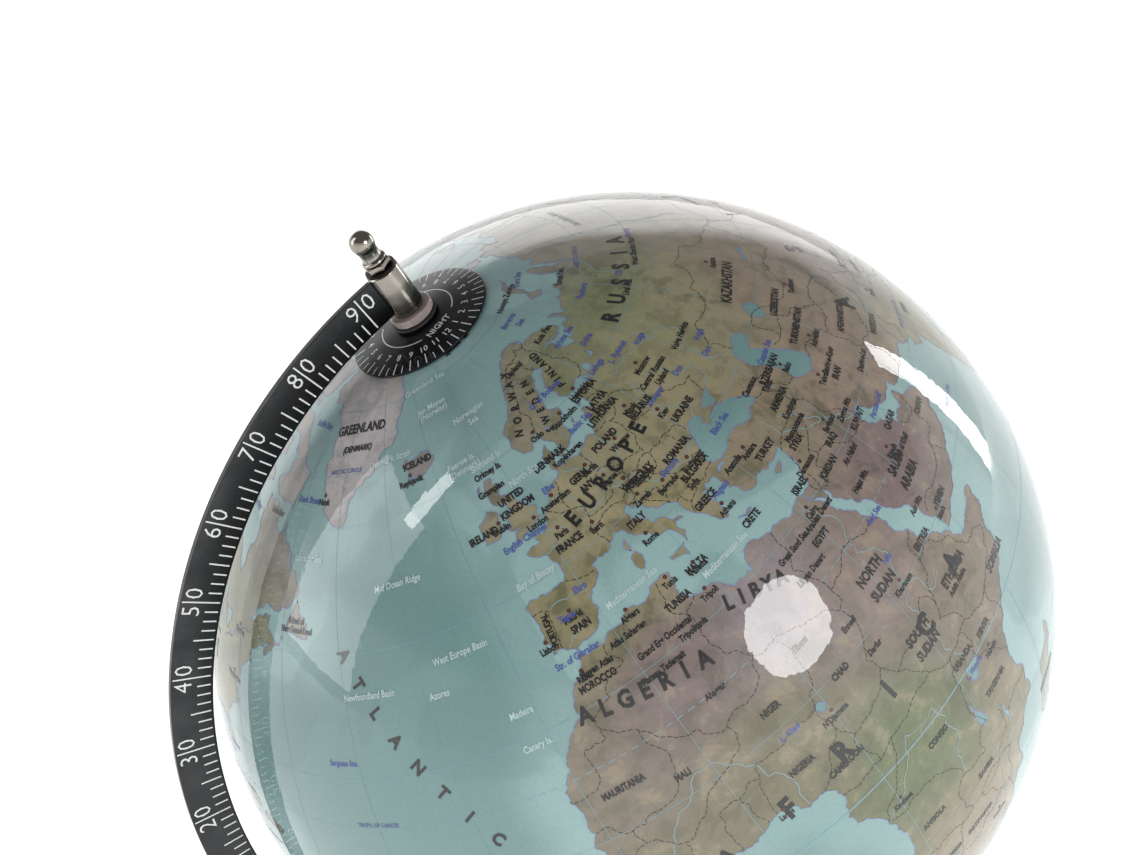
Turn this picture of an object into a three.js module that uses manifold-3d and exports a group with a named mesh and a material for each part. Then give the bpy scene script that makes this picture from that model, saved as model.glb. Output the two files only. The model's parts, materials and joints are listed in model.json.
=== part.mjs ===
// Desktop globe on a stand: a ball turning on a tilted axis, held by a flat half meridian
// that is bolted to a turned stem on a weighted round foot.
// Millimetres, +Z up. The origin is the centre of the felt's underside, on the table.
// The meridian lies in the XZ plane, and the north pole leans towards -X.
import * as THREE from 'three';
import { mergeVertices } from 'three/addons/utils/BufferGeometryUtils.js';
import Module from 'manifold-3d';

const wasm = await Module();
wasm.setup();

// ---- Driving dimensions --------------------------------------------------

const BALL_RADIUS = 150;
const BALL_WALL = 2;
const AXIS_TILT = 23.5; // degrees between the axis and the vertical
const BALL_SEGMENTS = 36; // flats round the ball
const BALL_STEPS = 9; // flats from the equator to a pole
const LARGE_SEGMENTS = 40; // flats round the foot and the dial
const SMALL_SEGMENTS = 24; // flats round the turned small pieces

const RING_GAP = 7.4; // radial space between the ball and the meridian
const RING_WIDTH = 14.6;
const RING_THICKNESS = 2.5;
const RING_SEGMENTS = 24; // half the number of flats along each arc

const PIN_RADIUS = 2.5; // M5 thread
const BORE_CLEARANCE = 0.15; // radial, around a pin or bolt that only passes through
const RUNNING_CLEARANCE = 0.08; // radial, where a bush turns on a pin
const SEAT_GAP = 0.1; // left between stacked pieces of the turned groups
const SLIDE_GAP = 0.3; // left where one piece moves past another

const DIAL_RADIUS = 24.4;
const DIAL_THICKNESS = 0.8;
const RUBBER_WASHER_RADIUS = 8;
const RUBBER_WASHER_THICKNESS = 1.2;
const CLEAR_WASHER_RADIUS = 7.4;
const CLEAR_WASHER_THICKNESS = 3;
const BARREL_RADIUS = 5.6;
const BARREL_OVERHANG = 1; // how far the barrel stands beyond the meridian's outer edge
const LOCK_WASHER_RADIUS = 5.3;
const LOCK_WASHER_THICKNESS = 0.7;
const HEX_NUT_FLATS = 8;
const HEX_NUT_HEIGHT = 2.3;
const FINIAL_BEAD_RADIUS = 4.2;
const FINIAL_BEAD_HEIGHT = 1.8;
const FINIAL_NECK_RADIUS = 3.3;
const FINIAL_NECK_LENGTH = 0.6;
const FINIAL_BALL_RADIUS = 4.05;
const FINIAL_SHOULDER = 35; // degrees below the ball's equator where the egg's taper starts
const FINIAL_CROWN = 75; // degrees above the ball's equator where its flat tip starts
const FINIAL_LENGTH = 12.2;
const FINIAL_BORE_SHARE = 0.62; // depth of the blind bore as a share of the length
const TURNED_CHAMFER = 0.4; // on barrels, pins and hexagons
const ROUNDED_EDGE = 0.6; // on the clear washer and the stem bolt
const END_CLEARANCE = 0.5; // left at the blind end of a bored hole

const BUSH_RADIUS = 7;
const BUSH_FLANGE_RADIUS = 14;
const BUSH_FLANGE_THICKNESS = 2;
const BUSH_LENGTH = 16;
const BUSH_TOP_INSET = 0.4; // from the ball's surface down to the bush
const PIN_REACH = 14; // length of pin inside the ball
const SPAR_RADIUS = 9;
const SPAR_OVERLAP = 8; // length of bush held inside each end of the spar
const BAND_WIDTH = 14; // joining band inside the equator
const BAND_THICKNESS = 1.5;

const FOOT_RADIUS = 90;
const FOOT_RIM_HEIGHT = 9;
const FOOT_HEIGHT = 32;
const FOOT_BOSS_RADIUS = 19;
const FOOT_TOP_WALL = 7; // metal over the ballast at the boss
const FOOT_RIM_WALL = 14; // metal outside the ballast
const FOOT_STEP = 5; // flat ledge between the rim and the sweep
const FOOT_STEP_RISE = 1.6;
const FOOT_SWEEP_DROP = 4; // from the boss's top down to the end of the sweep
const FOOT_SWEEP_MARGIN = 5; // ring between the sweep and the boss
const FOOT_SWEEP_POWER = 2.1; // how hollow the sweep is
const FOOT_SWEEP_STEPS = 7;
const FOOT_RECESS_SLOPE = 5; // how far the ballast's recess widens under the boss
const FELT_THICKNESS = 2;
const FELT_INSET = 3;
const BALLAST_THICKNESS = 7;

const STEM_HEIGHT = 46;
const STEM_FOOT_RADIUS = 16;
const STEM_WAIST_RADIUS = 6.2;
const STEM_KNOB_RADIUS = 10;
const STEM_COLLAR_RADIUS = 11.5;
const STEM_COLLAR_HEIGHT = 6;
const STEM_COLLAR_BEAD = 3; // cone and fillet under the collar
const STEM_FLARE_HEIGHT = 12;
const STEM_FLARE_SQUASH = 0.9; // height of the flare's curve as a share of a quarter circle
const STEM_KNOB_SHARE = 0.58; // height of the knob's middle as a share of the stem
const STEM_KNOB_ASPECT = 0.62; // half the knob's height as a share of its radius
const STEM_KNOB_SWEEP = 55; // degrees of arc above and below the knob's middle
const STEM_EDGE = 1;
const SPIGOT_RADIUS = 4;
const SPIGOT_LENGTH = 8;
const STEM_BOLT_RADIUS = 4; // M8 thread
const STEM_BOLT_FLATS = 13;
const STEM_BOLT_HEAD = 5.3;
const STEM_BOLT_GRIP = 18; // thread length inside the stem
const STEM_WASHER_RADIUS = 9;
const STEM_WASHER_THICKNESS = 1.6;

const SADDLE_RADIUS = 11;
const SADDLE_FOOT_CHAMFER = 1.5;
const SADDLE_TOP_CHAMFER = 2;
const SADDLE_FLAT_DEPTH = 2.2; // cut away under the screw's head and nut
const SADDLE_FLOOR = 12; // height of the saddle under the meridian
const SADDLE_CHEEK = 12.4; // height of the cheeks beside the meridian
const SADDLE_CLEARANCE = 0.25; // on each face of the meridian in the slot
const CROSS_SCREW_RADIUS = 2.5; // M5 thread
const CROSS_HEAD_RADIUS = 4.6;
const CROSS_HEAD_HEIGHT = 2.8;
const CROSS_HEAD_CROWN = 1.2; // height of the head's rounded top
const CROSS_SLOT_WIDTH = 1.2;
const CROSS_SLOT_DEPTH = 1.3;
const CROSS_WASHER_RADIUS = 5.4;
const CROSS_WASHER_THICKNESS = 0.8;
const CAP_NUT_FLATS = 8;
const CAP_NUT_HEX_HEIGHT = 4;
const CAP_NUT_DOME_HEIGHT = 3.6;
const CAP_NUT_BORE_DEPTH = 5.6;
const CAP_NUT_CROWN_INSET = 0.2; // from the nut's flats to its dome

// ---- Sizes worked out from the driving dimensions --------------------------

const RING_INNER = BALL_RADIUS + RING_GAP;
const RING_OUTER = RING_INNER + RING_WIDTH;
const BORE_RADIUS = PIN_RADIUS + BORE_CLEARANCE;
const POLE_BORE_RADIUS = PIN_RADIUS + RUNNING_CLEARANCE;
const STEM_TOP = FELT_THICKNESS + FOOT_HEIGHT + STEM_HEIGHT;
const SADDLE_TOP_FLOOR = STEM_TOP + SADDLE_FLOOR;
const BALL_HEIGHT = SADDLE_TOP_FLOOR + SADDLE_CLEARANCE + RING_OUTER;
const CROSS_SCREW_HEIGHT = SADDLE_TOP_FLOOR + SADDLE_CLEARANCE + RING_WIDTH / 2;
const SLOT_WIDTH = RING_THICKNESS + 2 * SADDLE_CLEARANCE;

// ---- Materials -------------------------------------------------------------

function metal(name, color, roughness) {
  return new THREE.MeshStandardMaterial({ name, color, roughness, metalness: 1 });
}

function solidColour(name, color, roughness) {
  return new THREE.MeshStandardMaterial({ name, color, roughness, metalness: 0 });
}

const blackNickel = metal('black_nickel_plate', 0x34353a, 0.12);
const brightNickel = metal('bright_nickel_plate', 0xb9b4ab, 0.1);
const satinNickel = metal('satin_nickel_plate', 0x9c9891, 0.3);
const bluedSteel = metal('blued_steel', 0x2a2725, 0.35);
const zincSteel = metal('zinc_plated_steel', 0xa9abab, 0.4);
const castIron = metal('cast_iron', 0x4a4a4a, 0.7);
const clearPlastic = solidColour('clear_acrylic', 0xb3a49c, 0.2);
const blackRubber = solidColour('black_rubber', 0x1b1a1a, 0.8);
const dialBlack = solidColour('black_gloss_dial', 0x17181b, 0.2);
const northMap = solidColour('lacquered_map_north', 0x8ea2a1, 0.15);
const southMap = solidColour('lacquered_map_south', 0x7f9794, 0.15);
const nylon = solidColour('nylon', 0xd8d4c8, 0.5);
const beech = solidColour('beech_wood', 0xc29a6b, 0.7);
const board = solidColour('grey_board', 0x8c8478, 0.9);
const felt = solidColour('green_felt', 0x27382f, 1);

// ---- Geometry helpers --------------------------------------------------------

const radians = THREE.MathUtils.degToRad;

/** Profile points of an arc about (cx, cy), from one angle to another in degrees. */
function arcPoints(cx, cy, radius, from, to, steps) {
  const points = [];
  for (let i = 0; i <= steps; i += 1) {
    const angle = radians(from + ((to - from) * i) / steps);
    points.push([cx + radius * Math.cos(angle), cy + radius * Math.sin(angle)]);
  }
  return points;
}

/** Turns [radius, height] points about +Z. A profile off the axis closes on itself. */
function turned(profile, segments) {
  const offAxis = profile.every(([radius]) => radius > 0);
  const outline = offAxis ? [...profile, profile[0]] : profile;
  const points = outline.map(([radius, height]) => new THREE.Vector2(radius, height));
  return new THREE.LatheGeometry(points, segments).rotateX(Math.PI / 2);
}

/** A flat ring or sleeve between two heights. */
function sleeve(inner, outer, bottom, top, segments) {
  return turned([[inner, bottom], [outer, bottom], [outer, top], [inner, top]], segments);
}

/** A plain turned rod between two heights, with chamfered ends. */
function rod(radius, bottom, top, chamfer, segments) {
  return turned([
    [0, bottom],
    [radius - chamfer, bottom],
    [radius, bottom + chamfer],
    [radius, top - chamfer],
    [radius - chamfer, top],
    [0, top],
  ], segments);
}

/** A hexagonal prism on +Z, measured across its flats. */
function hexPrism(acrossFlats, bottom, top) {
  const corner = acrossFlats / Math.sqrt(3);
  const geometry = new THREE.CylinderGeometry(corner, corner, top - bottom, 6);
  return geometry.rotateX(Math.PI / 2).translate(0, 0, (top + bottom) / 2);
}

function toSolid(geometry) {
  const bare = geometry.clone();
  bare.deleteAttribute('normal');
  bare.deleteAttribute('uv');
  const merged = mergeVertices(bare, 1e-5);
  return new wasm.Manifold(new wasm.Mesh({
    numProp: 3,
    vertProperties: new Float32Array(merged.attributes.position.array),
    triVerts: new Uint32Array(merged.index.array),
  }));
}

function toGeometry(solid) {
  const mesh = solid.getMesh();
  const geometry = new THREE.BufferGeometry();
  geometry.setAttribute('position', new THREE.BufferAttribute(mesh.vertProperties, 3));
  geometry.setIndex(new THREE.BufferAttribute(mesh.triVerts, 1));
  return geometry;
}

function cut(geometry, ...tools) {
  return toGeometry(tools.reduce((solid, tool) => solid.subtract(toSolid(tool)), toSolid(geometry)));
}

function common(geometry, other) {
  return toGeometry(toSolid(geometry).intersect(toSolid(other)));
}

function joined(geometry, other) {
  return toGeometry(toSolid(geometry).add(toSolid(other)));
}

function piece(name, geometry, material) {
  const mesh = new THREE.Mesh(geometry, material);
  mesh.name = name;
  return mesh;
}

// ---- Foot and stem -----------------------------------------------------------

function footGeometry() {
  const bottom = FELT_THICKNESS;
  const rimTop = bottom + FOOT_RIM_HEIGHT;
  const top = bottom + FOOT_HEIGHT;
  const recessRadius = FOOT_RADIUS - FOOT_RIM_WALL;
  const recessTop = bottom + BALLAST_THICKNESS + SLIDE_GAP;
  const stepRadius = FOOT_RADIUS - FOOT_STEP;
  const stepTop = rimTop + FOOT_STEP_RISE;
  const sweepTop = top - FOOT_SWEEP_DROP;
  const sweepRadius = FOOT_BOSS_RADIUS + FOOT_SWEEP_MARGIN;
  const sweep = [];
  for (let i = 0; i <= FOOT_SWEEP_STEPS; i += 1) {
    const share = i / FOOT_SWEEP_STEPS;
    const radius = stepRadius + (sweepRadius - stepRadius) * share;
    sweep.push([radius, stepTop + (sweepTop - stepTop) * share ** FOOT_SWEEP_POWER]);
  }
  const edgeRadius = FOOT_RIM_HEIGHT / 2;
  const bossRound = FOOT_SWEEP_DROP / 2;
  return turned([
    [STEM_BOLT_RADIUS + BORE_CLEARANCE, top - FOOT_TOP_WALL],
    [FOOT_BOSS_RADIUS - 1, top - FOOT_TOP_WALL],
    [FOOT_BOSS_RADIUS - 1 + FOOT_RECESS_SLOPE, recessTop],
    [recessRadius, recessTop],
    [recessRadius, bottom],
    [FOOT_RADIUS - edgeRadius, bottom],
    ...arcPoints(FOOT_RADIUS - edgeRadius, bottom + edgeRadius, edgeRadius, -60, 90, 4),
    ...sweep,
    [sweepRadius, sweepTop + 1],
    ...arcPoints(FOOT_BOSS_RADIUS, top - bossRound, bossRound, 0, 90, 2),
    [STEM_BOLT_RADIUS + BORE_CLEARANCE, top],
  ], LARGE_SEGMENTS);
}

function stemGeometry() {
  const base = FELT_THICKNESS + FOOT_HEIGHT;
  const top = STEM_TOP;
  const waistLow = base + STEM_FLARE_HEIGHT;
  const knobHeight = base + STEM_HEIGHT * STEM_KNOB_SHARE;
  const collarBottom = top - STEM_COLLAR_HEIGHT;
  const boltTip = base + STEM_BOLT_GRIP;
  const flareRadius = STEM_FOOT_RADIUS - STEM_WAIST_RADIUS;
  const flare = arcPoints(STEM_FOOT_RADIUS, waistLow, flareRadius, -90, -180, 4)
    .map(([radius, height]) => [radius, waistLow + (height - waistLow) * STEM_FLARE_SQUASH]);
  const halfKnob = STEM_KNOB_RADIUS * STEM_KNOB_ASPECT;
  const nearest = Math.cos(radians(STEM_KNOB_SWEEP));
  const highest = Math.sin(radians(STEM_KNOB_SWEEP));
  const knob = arcPoints(0, 0, 1, -STEM_KNOB_SWEEP, STEM_KNOB_SWEEP, 6).map(([across, up]) => {
    const swell = (across - nearest) / (1 - nearest);
    const radius = STEM_WAIST_RADIUS + (STEM_KNOB_RADIUS - STEM_WAIST_RADIUS) * swell;
    return [radius, knobHeight + halfKnob * (up / highest)];
  });
  return turned([
    [0, boltTip],
    [STEM_BOLT_RADIUS + BORE_CLEARANCE, boltTip],
    [STEM_BOLT_RADIUS + BORE_CLEARANCE, base],
    [STEM_FOOT_RADIUS, base],
    ...flare,
    ...knob,
    [STEM_WAIST_RADIUS, collarBottom - STEM_COLLAR_BEAD],
    [STEM_WAIST_RADIUS + STEM_COLLAR_BEAD / 2, collarBottom - STEM_EDGE],
    [STEM_COLLAR_RADIUS - STEM_EDGE, collarBottom],
    [STEM_COLLAR_RADIUS, collarBottom + STEM_COLLAR_BEAD / 2],
    [STEM_COLLAR_RADIUS, top - STEM_EDGE],
    [STEM_COLLAR_RADIUS - STEM_EDGE, top],
    [SPIGOT_RADIUS, top],
    [SPIGOT_RADIUS, top + SPIGOT_LENGTH - TURNED_CHAMFER],
    [SPIGOT_RADIUS - TURNED_CHAMFER, top + SPIGOT_LENGTH],
    [0, top + SPIGOT_LENGTH],
  ], SMALL_SEGMENTS);
}

function stemBoltGeometry() {
  const seat = FELT_THICKNESS + FOOT_HEIGHT - FOOT_TOP_WALL - STEM_WASHER_THICKNESS;
  const tip = FELT_THICKNESS + FOOT_HEIGHT + STEM_BOLT_GRIP - 1;
  const shank = rod(STEM_BOLT_RADIUS, seat - STEM_BOLT_HEAD / 2, tip, ROUNDED_EDGE, SMALL_SEGMENTS);
  return joined(shank, hexPrism(STEM_BOLT_FLATS, seat - STEM_BOLT_HEAD, seat));
}

function stemWasherGeometry() {
  const top = FELT_THICKNESS + FOOT_HEIGHT - FOOT_TOP_WALL;
  const bottom = top - STEM_WASHER_THICKNESS;
  return sleeve(STEM_BOLT_RADIUS + BORE_CLEARANCE, STEM_WASHER_RADIUS, bottom, top, SMALL_SEGMENTS);
}

function ballastGeometry() {
  const bottom = FELT_THICKNESS;
  const outer = FOOT_RADIUS - FOOT_RIM_WALL - SLIDE_GAP;
  return sleeve(FOOT_BOSS_RADIUS, outer, bottom, bottom + BALLAST_THICKNESS, LARGE_SEGMENTS);
}

// ---- Saddle that holds the meridian -------------------------------------------

function saddleGeometry() {
  const top = SADDLE_TOP_FLOOR + SADDLE_CHEEK;
  const body = turned([
    [0, STEM_TOP + SPIGOT_LENGTH + SLIDE_GAP],
    [SPIGOT_RADIUS + BORE_CLEARANCE, STEM_TOP + SPIGOT_LENGTH + SLIDE_GAP],
    [SPIGOT_RADIUS + BORE_CLEARANCE, STEM_TOP],
    [SADDLE_RADIUS - SADDLE_FOOT_CHAMFER, STEM_TOP],
    [SADDLE_RADIUS, STEM_TOP + SADDLE_FOOT_CHAMFER],
    [SADDLE_RADIUS, top - SADDLE_TOP_CHAMFER],
    [SADDLE_RADIUS - SADDLE_TOP_CHAMFER, top],
    [0, top],
  ], SMALL_SEGMENTS);
  const slot = new THREE.BoxGeometry(3 * SADDLE_RADIUS, SLOT_WIDTH, 2 * SADDLE_CHEEK)
    .translate(0, 0, SADDLE_TOP_FLOOR + SADDLE_CHEEK);
  const screwWay = new THREE.CylinderGeometry(
    CROSS_SCREW_RADIUS + BORE_CLEARANCE,
    CROSS_SCREW_RADIUS + BORE_CLEARANCE,
    3 * SADDLE_RADIUS,
    SMALL_SEGMENTS,
  ).translate(0, 0, CROSS_SCREW_HEIGHT);
  const flat = flatsDepth();
  const flats = [-1, 1].map((side) => new THREE.BoxGeometry(
    4 * CROSS_WASHER_RADIUS,
    SADDLE_RADIUS,
    2 * (top - CROSS_SCREW_HEIGHT + CROSS_WASHER_RADIUS + 1),
  ).translate(0, side * (flat + SADDLE_RADIUS / 2), top));
  return cut(body, slot, screwWay, ...flats);
}

/** Distance from the meridian's middle plane to the flats under the screw's head and nut. */
function flatsDepth() {
  return SADDLE_RADIUS - SADDLE_FLAT_DEPTH;
}

function crossScrewGeometry() {
  const seat = flatsDepth() + CROSS_WASHER_THICKNESS + SEAT_GAP;
  const tip = flatsDepth() + CROSS_WASHER_THICKNESS + CAP_NUT_BORE_DEPTH - 1;
  const headTop = seat + SEAT_GAP + CROSS_HEAD_HEIGHT;
  const head = turned([
    [0, seat],
    [CROSS_HEAD_RADIUS, seat],
    [CROSS_HEAD_RADIUS, headTop - CROSS_HEAD_CROWN],
    [CROSS_HEAD_RADIUS - CROSS_HEAD_CROWN * 0.75, headTop - CROSS_HEAD_CROWN / 4],
    [CROSS_HEAD_RADIUS - CROSS_HEAD_CROWN * 1.65, headTop],
    [0, headTop],
  ], SMALL_SEGMENTS);
  const screw = joined(rod(CROSS_SCREW_RADIUS, -tip, seat + 1, TURNED_CHAMFER, SMALL_SEGMENTS), head);
  const slot = new THREE.BoxGeometry(3 * CROSS_HEAD_RADIUS, CROSS_SLOT_WIDTH, 2 * CROSS_SLOT_DEPTH)
    .translate(0, 0, headTop);
  return cut(screw, slot);
}

function capNutGeometry() {
  const seat = flatsDepth() + CROSS_WASHER_THICKNESS + SEAT_GAP;
  const hexTop = seat + CAP_NUT_HEX_HEIGHT;
  const crown = CAP_NUT_FLATS / 2 - CAP_NUT_CROWN_INSET;
  const corner = CAP_NUT_FLATS / Math.sqrt(3);
  const skirt = turned([
    [0, seat],
    [CAP_NUT_FLATS / 2, seat],
    [corner, seat + TURNED_CHAMFER],
    [corner, hexTop - TURNED_CHAMFER],
    [CAP_NUT_FLATS / 2, hexTop],
    [0, hexTop],
  ], SMALL_SEGMENTS);
  const hex = common(hexPrism(CAP_NUT_FLATS, seat, hexTop), skirt);
  const round = arcPoints(0, 0, 1, 0, 80, 4)
    .map(([across, up]) => [crown * across, hexTop + CAP_NUT_DOME_HEIGHT * up]);
  const dome = turned([
    [0, hexTop - 1],
    [crown, hexTop - 1],
    ...round,
    [0, hexTop + CAP_NUT_DOME_HEIGHT],
  ], SMALL_SEGMENTS);
  const boreRadius = CROSS_SCREW_RADIUS + BORE_CLEARANCE;
  const bore = rod(boreRadius, seat - 1, seat + CAP_NUT_BORE_DEPTH, TURNED_CHAMFER / 2, SMALL_SEGMENTS);
  return cut(joined(hex, dome), bore);
}

function crossWasherGeometry() {
  const start = flatsDepth() + SEAT_GAP / 2;
  const bore = CROSS_SCREW_RADIUS + BORE_CLEARANCE;
  return sleeve(bore, CROSS_WASHER_RADIUS, start, start + CROSS_WASHER_THICKNESS, SMALL_SEGMENTS);
}

/** The cross screw's pieces, made along +Z and laid so that the head faces -Y. */
function saddleFasteners() {
  const screwSide = new THREE.Group();
  screwSide.position.z = CROSS_SCREW_HEIGHT;
  screwSide.rotation.x = Math.PI / 2;
  screwSide.add(
    piece('saddle_screw', crossScrewGeometry(), brightNickel),
    piece('saddle_screw_washer', crossWasherGeometry(), satinNickel),
  );
  const nutSide = new THREE.Group();
  nutSide.position.z = CROSS_SCREW_HEIGHT;
  nutSide.rotation.x = -Math.PI / 2;
  nutSide.add(
    piece('saddle_cap_nut', capNutGeometry(), brightNickel),
    piece('saddle_nut_washer', crossWasherGeometry(), satinNickel),
  );
  return [screwSide, nutSide];
}

// ---- Meridian ------------------------------------------------------------------

/** Half ring from one pivot barrel to the other, on the -X side of the axis. */
function meridianGeometry() {
  const endDistance = BARREL_RADIUS + SEAT_GAP;
  const outerEnd = Math.asin(endDistance / RING_OUTER);
  const innerEnd = Math.asin(endDistance / RING_INNER);
  const middle = RING_INNER + RING_WIDTH / 2;
  const tilt = radians(AXIS_TILT); // the ring's lowest point is this far from its south end
  const outline = new THREE.Shape();
  outline.absarc(0, 0, RING_OUTER, outerEnd, Math.PI - outerEnd, false);
  outline.absarc(0, 0, RING_INNER, Math.PI - innerEnd, innerEnd, true);
  outline.closePath();
  const hole = new THREE.Path();
  const holeRadius = CROSS_SCREW_RADIUS + BORE_CLEARANCE;
  hole.absarc(-middle * Math.cos(tilt), middle * Math.sin(tilt), holeRadius, 0, 2 * Math.PI, true);
  outline.holes.push(hole);
  const geometry = new THREE.ExtrudeGeometry(outline, {
    depth: RING_THICKNESS,
    bevelEnabled: false,
    curveSegments: RING_SEGMENTS,
  });
  // The outline's x runs along the axis and its y away from it, so it is stood up beside the axis.
  const axes = new THREE.Matrix4().makeBasis(
    new THREE.Vector3(0, 0, 1),
    new THREE.Vector3(-1, 0, 0),
    new THREE.Vector3(0, -1, 0),
  );
  return geometry.translate(0, 0, -RING_THICKNESS / 2).applyMatrix4(axes);
}

// ---- Pivot stacks -----------------------------------------------------------------

/** Heights of the stacked pieces, from the ball outwards along the axis. */
function stackHeights() {
  const dialTop = BALL_RADIUS + SLIDE_GAP + DIAL_THICKNESS;
  const rubberBottom = dialTop + SLIDE_GAP;
  const clearBottom = rubberBottom + RUBBER_WASHER_THICKNESS + SEAT_GAP;
  const barrelBottom = clearBottom + CLEAR_WASHER_THICKNESS + SEAT_GAP;
  const barrelTop = RING_OUTER + BARREL_OVERHANG;
  const lockBottom = barrelTop + SEAT_GAP;
  const nutBottom = lockBottom + LOCK_WASHER_THICKNESS + SEAT_GAP;
  const finialBottom = nutBottom + HEX_NUT_HEIGHT + SEAT_GAP;
  return { rubberBottom, clearBottom, barrelBottom, barrelTop, lockBottom, nutBottom, finialBottom };
}

function rubberWasherGeometry(bottom) {
  const top = bottom + RUBBER_WASHER_THICKNESS;
  return sleeve(BORE_RADIUS, RUBBER_WASHER_RADIUS, bottom, top, SMALL_SEGMENTS);
}

function clearWasherGeometry(bottom) {
  const top = bottom + CLEAR_WASHER_THICKNESS;
  const edge = ROUNDED_EDGE;
  return turned([
    [BORE_RADIUS, bottom],
    [CLEAR_WASHER_RADIUS - edge, bottom],
    [CLEAR_WASHER_RADIUS, bottom + edge],
    [CLEAR_WASHER_RADIUS, top - edge],
    [CLEAR_WASHER_RADIUS - edge, top],
    [BORE_RADIUS, top],
  ], SMALL_SEGMENTS);
}

function barrelGeometry(bottom, top) {
  const chamfer = TURNED_CHAMFER;
  return turned([
    [BORE_RADIUS, bottom],
    [BARREL_RADIUS - chamfer, bottom],
    [BARREL_RADIUS, bottom + chamfer],
    [BARREL_RADIUS, top - chamfer],
    [BARREL_RADIUS - chamfer, top],
    [BORE_RADIUS, top],
  ], SMALL_SEGMENTS);
}

function hexNutGeometry(bottom) {
  const top = bottom + HEX_NUT_HEIGHT;
  const corner = HEX_NUT_FLATS / Math.sqrt(3);
  const skirt = turned([
    [0, bottom],
    [corner, bottom],
    [corner, top - TURNED_CHAMFER],
    [HEX_NUT_FLATS / 2, top],
    [0, top],
  ], SMALL_SEGMENTS);
  const hex = common(hexPrism(HEX_NUT_FLATS, bottom, top), skirt);
  return cut(hex, rod(BORE_RADIUS, bottom - 1, top + 1, TURNED_CHAMFER / 2, SMALL_SEGMENTS));
}

/** Ball, neck and bead in one turned piece, with a blind bore for the pin. */
function finialGeometry(bottom) {
  const boreTop = bottom + FINIAL_LENGTH * FINIAL_BORE_SHARE;
  const beadTop = bottom + FINIAL_BEAD_HEIGHT;
  const ballCentre = bottom + FINIAL_LENGTH - FINIAL_BALL_RADIUS;
  const beadRound = FINIAL_BEAD_HEIGHT / 2;
  return turned([
    [0, boreTop],
    [BORE_RADIUS, boreTop],
    [BORE_RADIUS, bottom],
    ...arcPoints(FINIAL_BEAD_RADIUS - beadRound, bottom + beadRound, beadRound, -80, 80, 4),
    [FINIAL_NECK_RADIUS, beadTop],
    [FINIAL_NECK_RADIUS, beadTop + FINIAL_NECK_LENGTH],
    ...arcPoints(0, ballCentre, FINIAL_BALL_RADIUS, -FINIAL_SHOULDER, FINIAL_CROWN, 6),
    [0, bottom + FINIAL_LENGTH],
  ], SMALL_SEGMENTS);
}

function pinGeometry(heights) {
  const inside = BALL_RADIUS - PIN_REACH;
  const outside = heights.finialBottom + FINIAL_LENGTH * FINIAL_BORE_SHARE - END_CLEARANCE;
  return rod(PIN_RADIUS, inside, outside, TURNED_CHAMFER, SMALL_SEGMENTS);
}

/** Everything fixed along one end of the axis, made for the north and turned for the south. */
function pivotStack(pole) {
  const at = stackHeights();
  const lockTop = at.lockBottom + LOCK_WASHER_THICKNESS;
  const lock = sleeve(BORE_RADIUS, LOCK_WASHER_RADIUS, at.lockBottom, lockTop, SMALL_SEGMENTS);
  const group = new THREE.Group();
  group.add(
    piece(`${pole}_pivot_pin`, pinGeometry(at), zincSteel),
    piece(`${pole}_rubber_washer`, rubberWasherGeometry(at.rubberBottom), blackRubber),
    piece(`${pole}_clear_washer`, clearWasherGeometry(at.clearBottom), clearPlastic),
    piece(`${pole}_pivot_barrel`, barrelGeometry(at.barrelBottom, at.barrelTop), brightNickel),
    piece(`${pole}_lock_washer`, lock, bluedSteel),
    piece(`${pole}_hex_nut`, hexNutGeometry(at.nutBottom), brightNickel),
    piece(`${pole}_finial`, finialGeometry(at.finialBottom), brightNickel),
  );
  return group;
}

// ---- Time dial ------------------------------------------------------------------

/** A thin cap that follows the ball, drawn as one closed profile about the pin. */
function dialGeometry() {
  const inner = BALL_RADIUS + SLIDE_GAP;
  const outer = inner + DIAL_THICKNESS;
  const rimAngle = THREE.MathUtils.radToDeg(Math.asin(DIAL_RADIUS / outer));
  const under = 90 - THREE.MathUtils.radToDeg(Math.asin(POLE_BORE_RADIUS / inner));
  const over = 90 - THREE.MathUtils.radToDeg(Math.asin(POLE_BORE_RADIUS / outer));
  return turned([
    ...arcPoints(0, 0, inner, under, 90 - rimAngle, 3),
    ...arcPoints(0, 0, outer, 90 - rimAngle, over, 3),
  ], LARGE_SEGMENTS);
}

// ---- Ball -------------------------------------------------------------------------

/** One half of the ball's shell, from the equator to the hole for the pole bush. */
function hemisphereGeometry() {
  const inner = BALL_RADIUS - BALL_WALL;
  const hole = BUSH_RADIUS + SEAT_GAP;
  const outerTop = THREE.MathUtils.radToDeg(Math.acos(hole / BALL_RADIUS));
  const innerTop = THREE.MathUtils.radToDeg(Math.acos(hole / inner));
  const start = THREE.MathUtils.radToDeg(Math.asin(SEAT_GAP / 2 / BALL_RADIUS));
  return turned([
    ...arcPoints(0, 0, BALL_RADIUS, start, outerTop, BALL_STEPS),
    ...arcPoints(0, 0, inner, innerTop, start, BALL_STEPS),
  ], BALL_SEGMENTS);
}

/** How far the flats of the faceted shell fall inside the true inner sphere. */
function shellSag() {
  return (BALL_RADIUS - BALL_WALL) * (1 - Math.cos(radians(45 / BALL_STEPS)));
}

/** Distance along one of the ball's directions to the shell's inside, at an offset from it. */
function insideShell(offset) {
  return Math.sqrt((BALL_RADIUS - BALL_WALL) ** 2 - offset ** 2) - shellSag() - SEAT_GAP;
}

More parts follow.
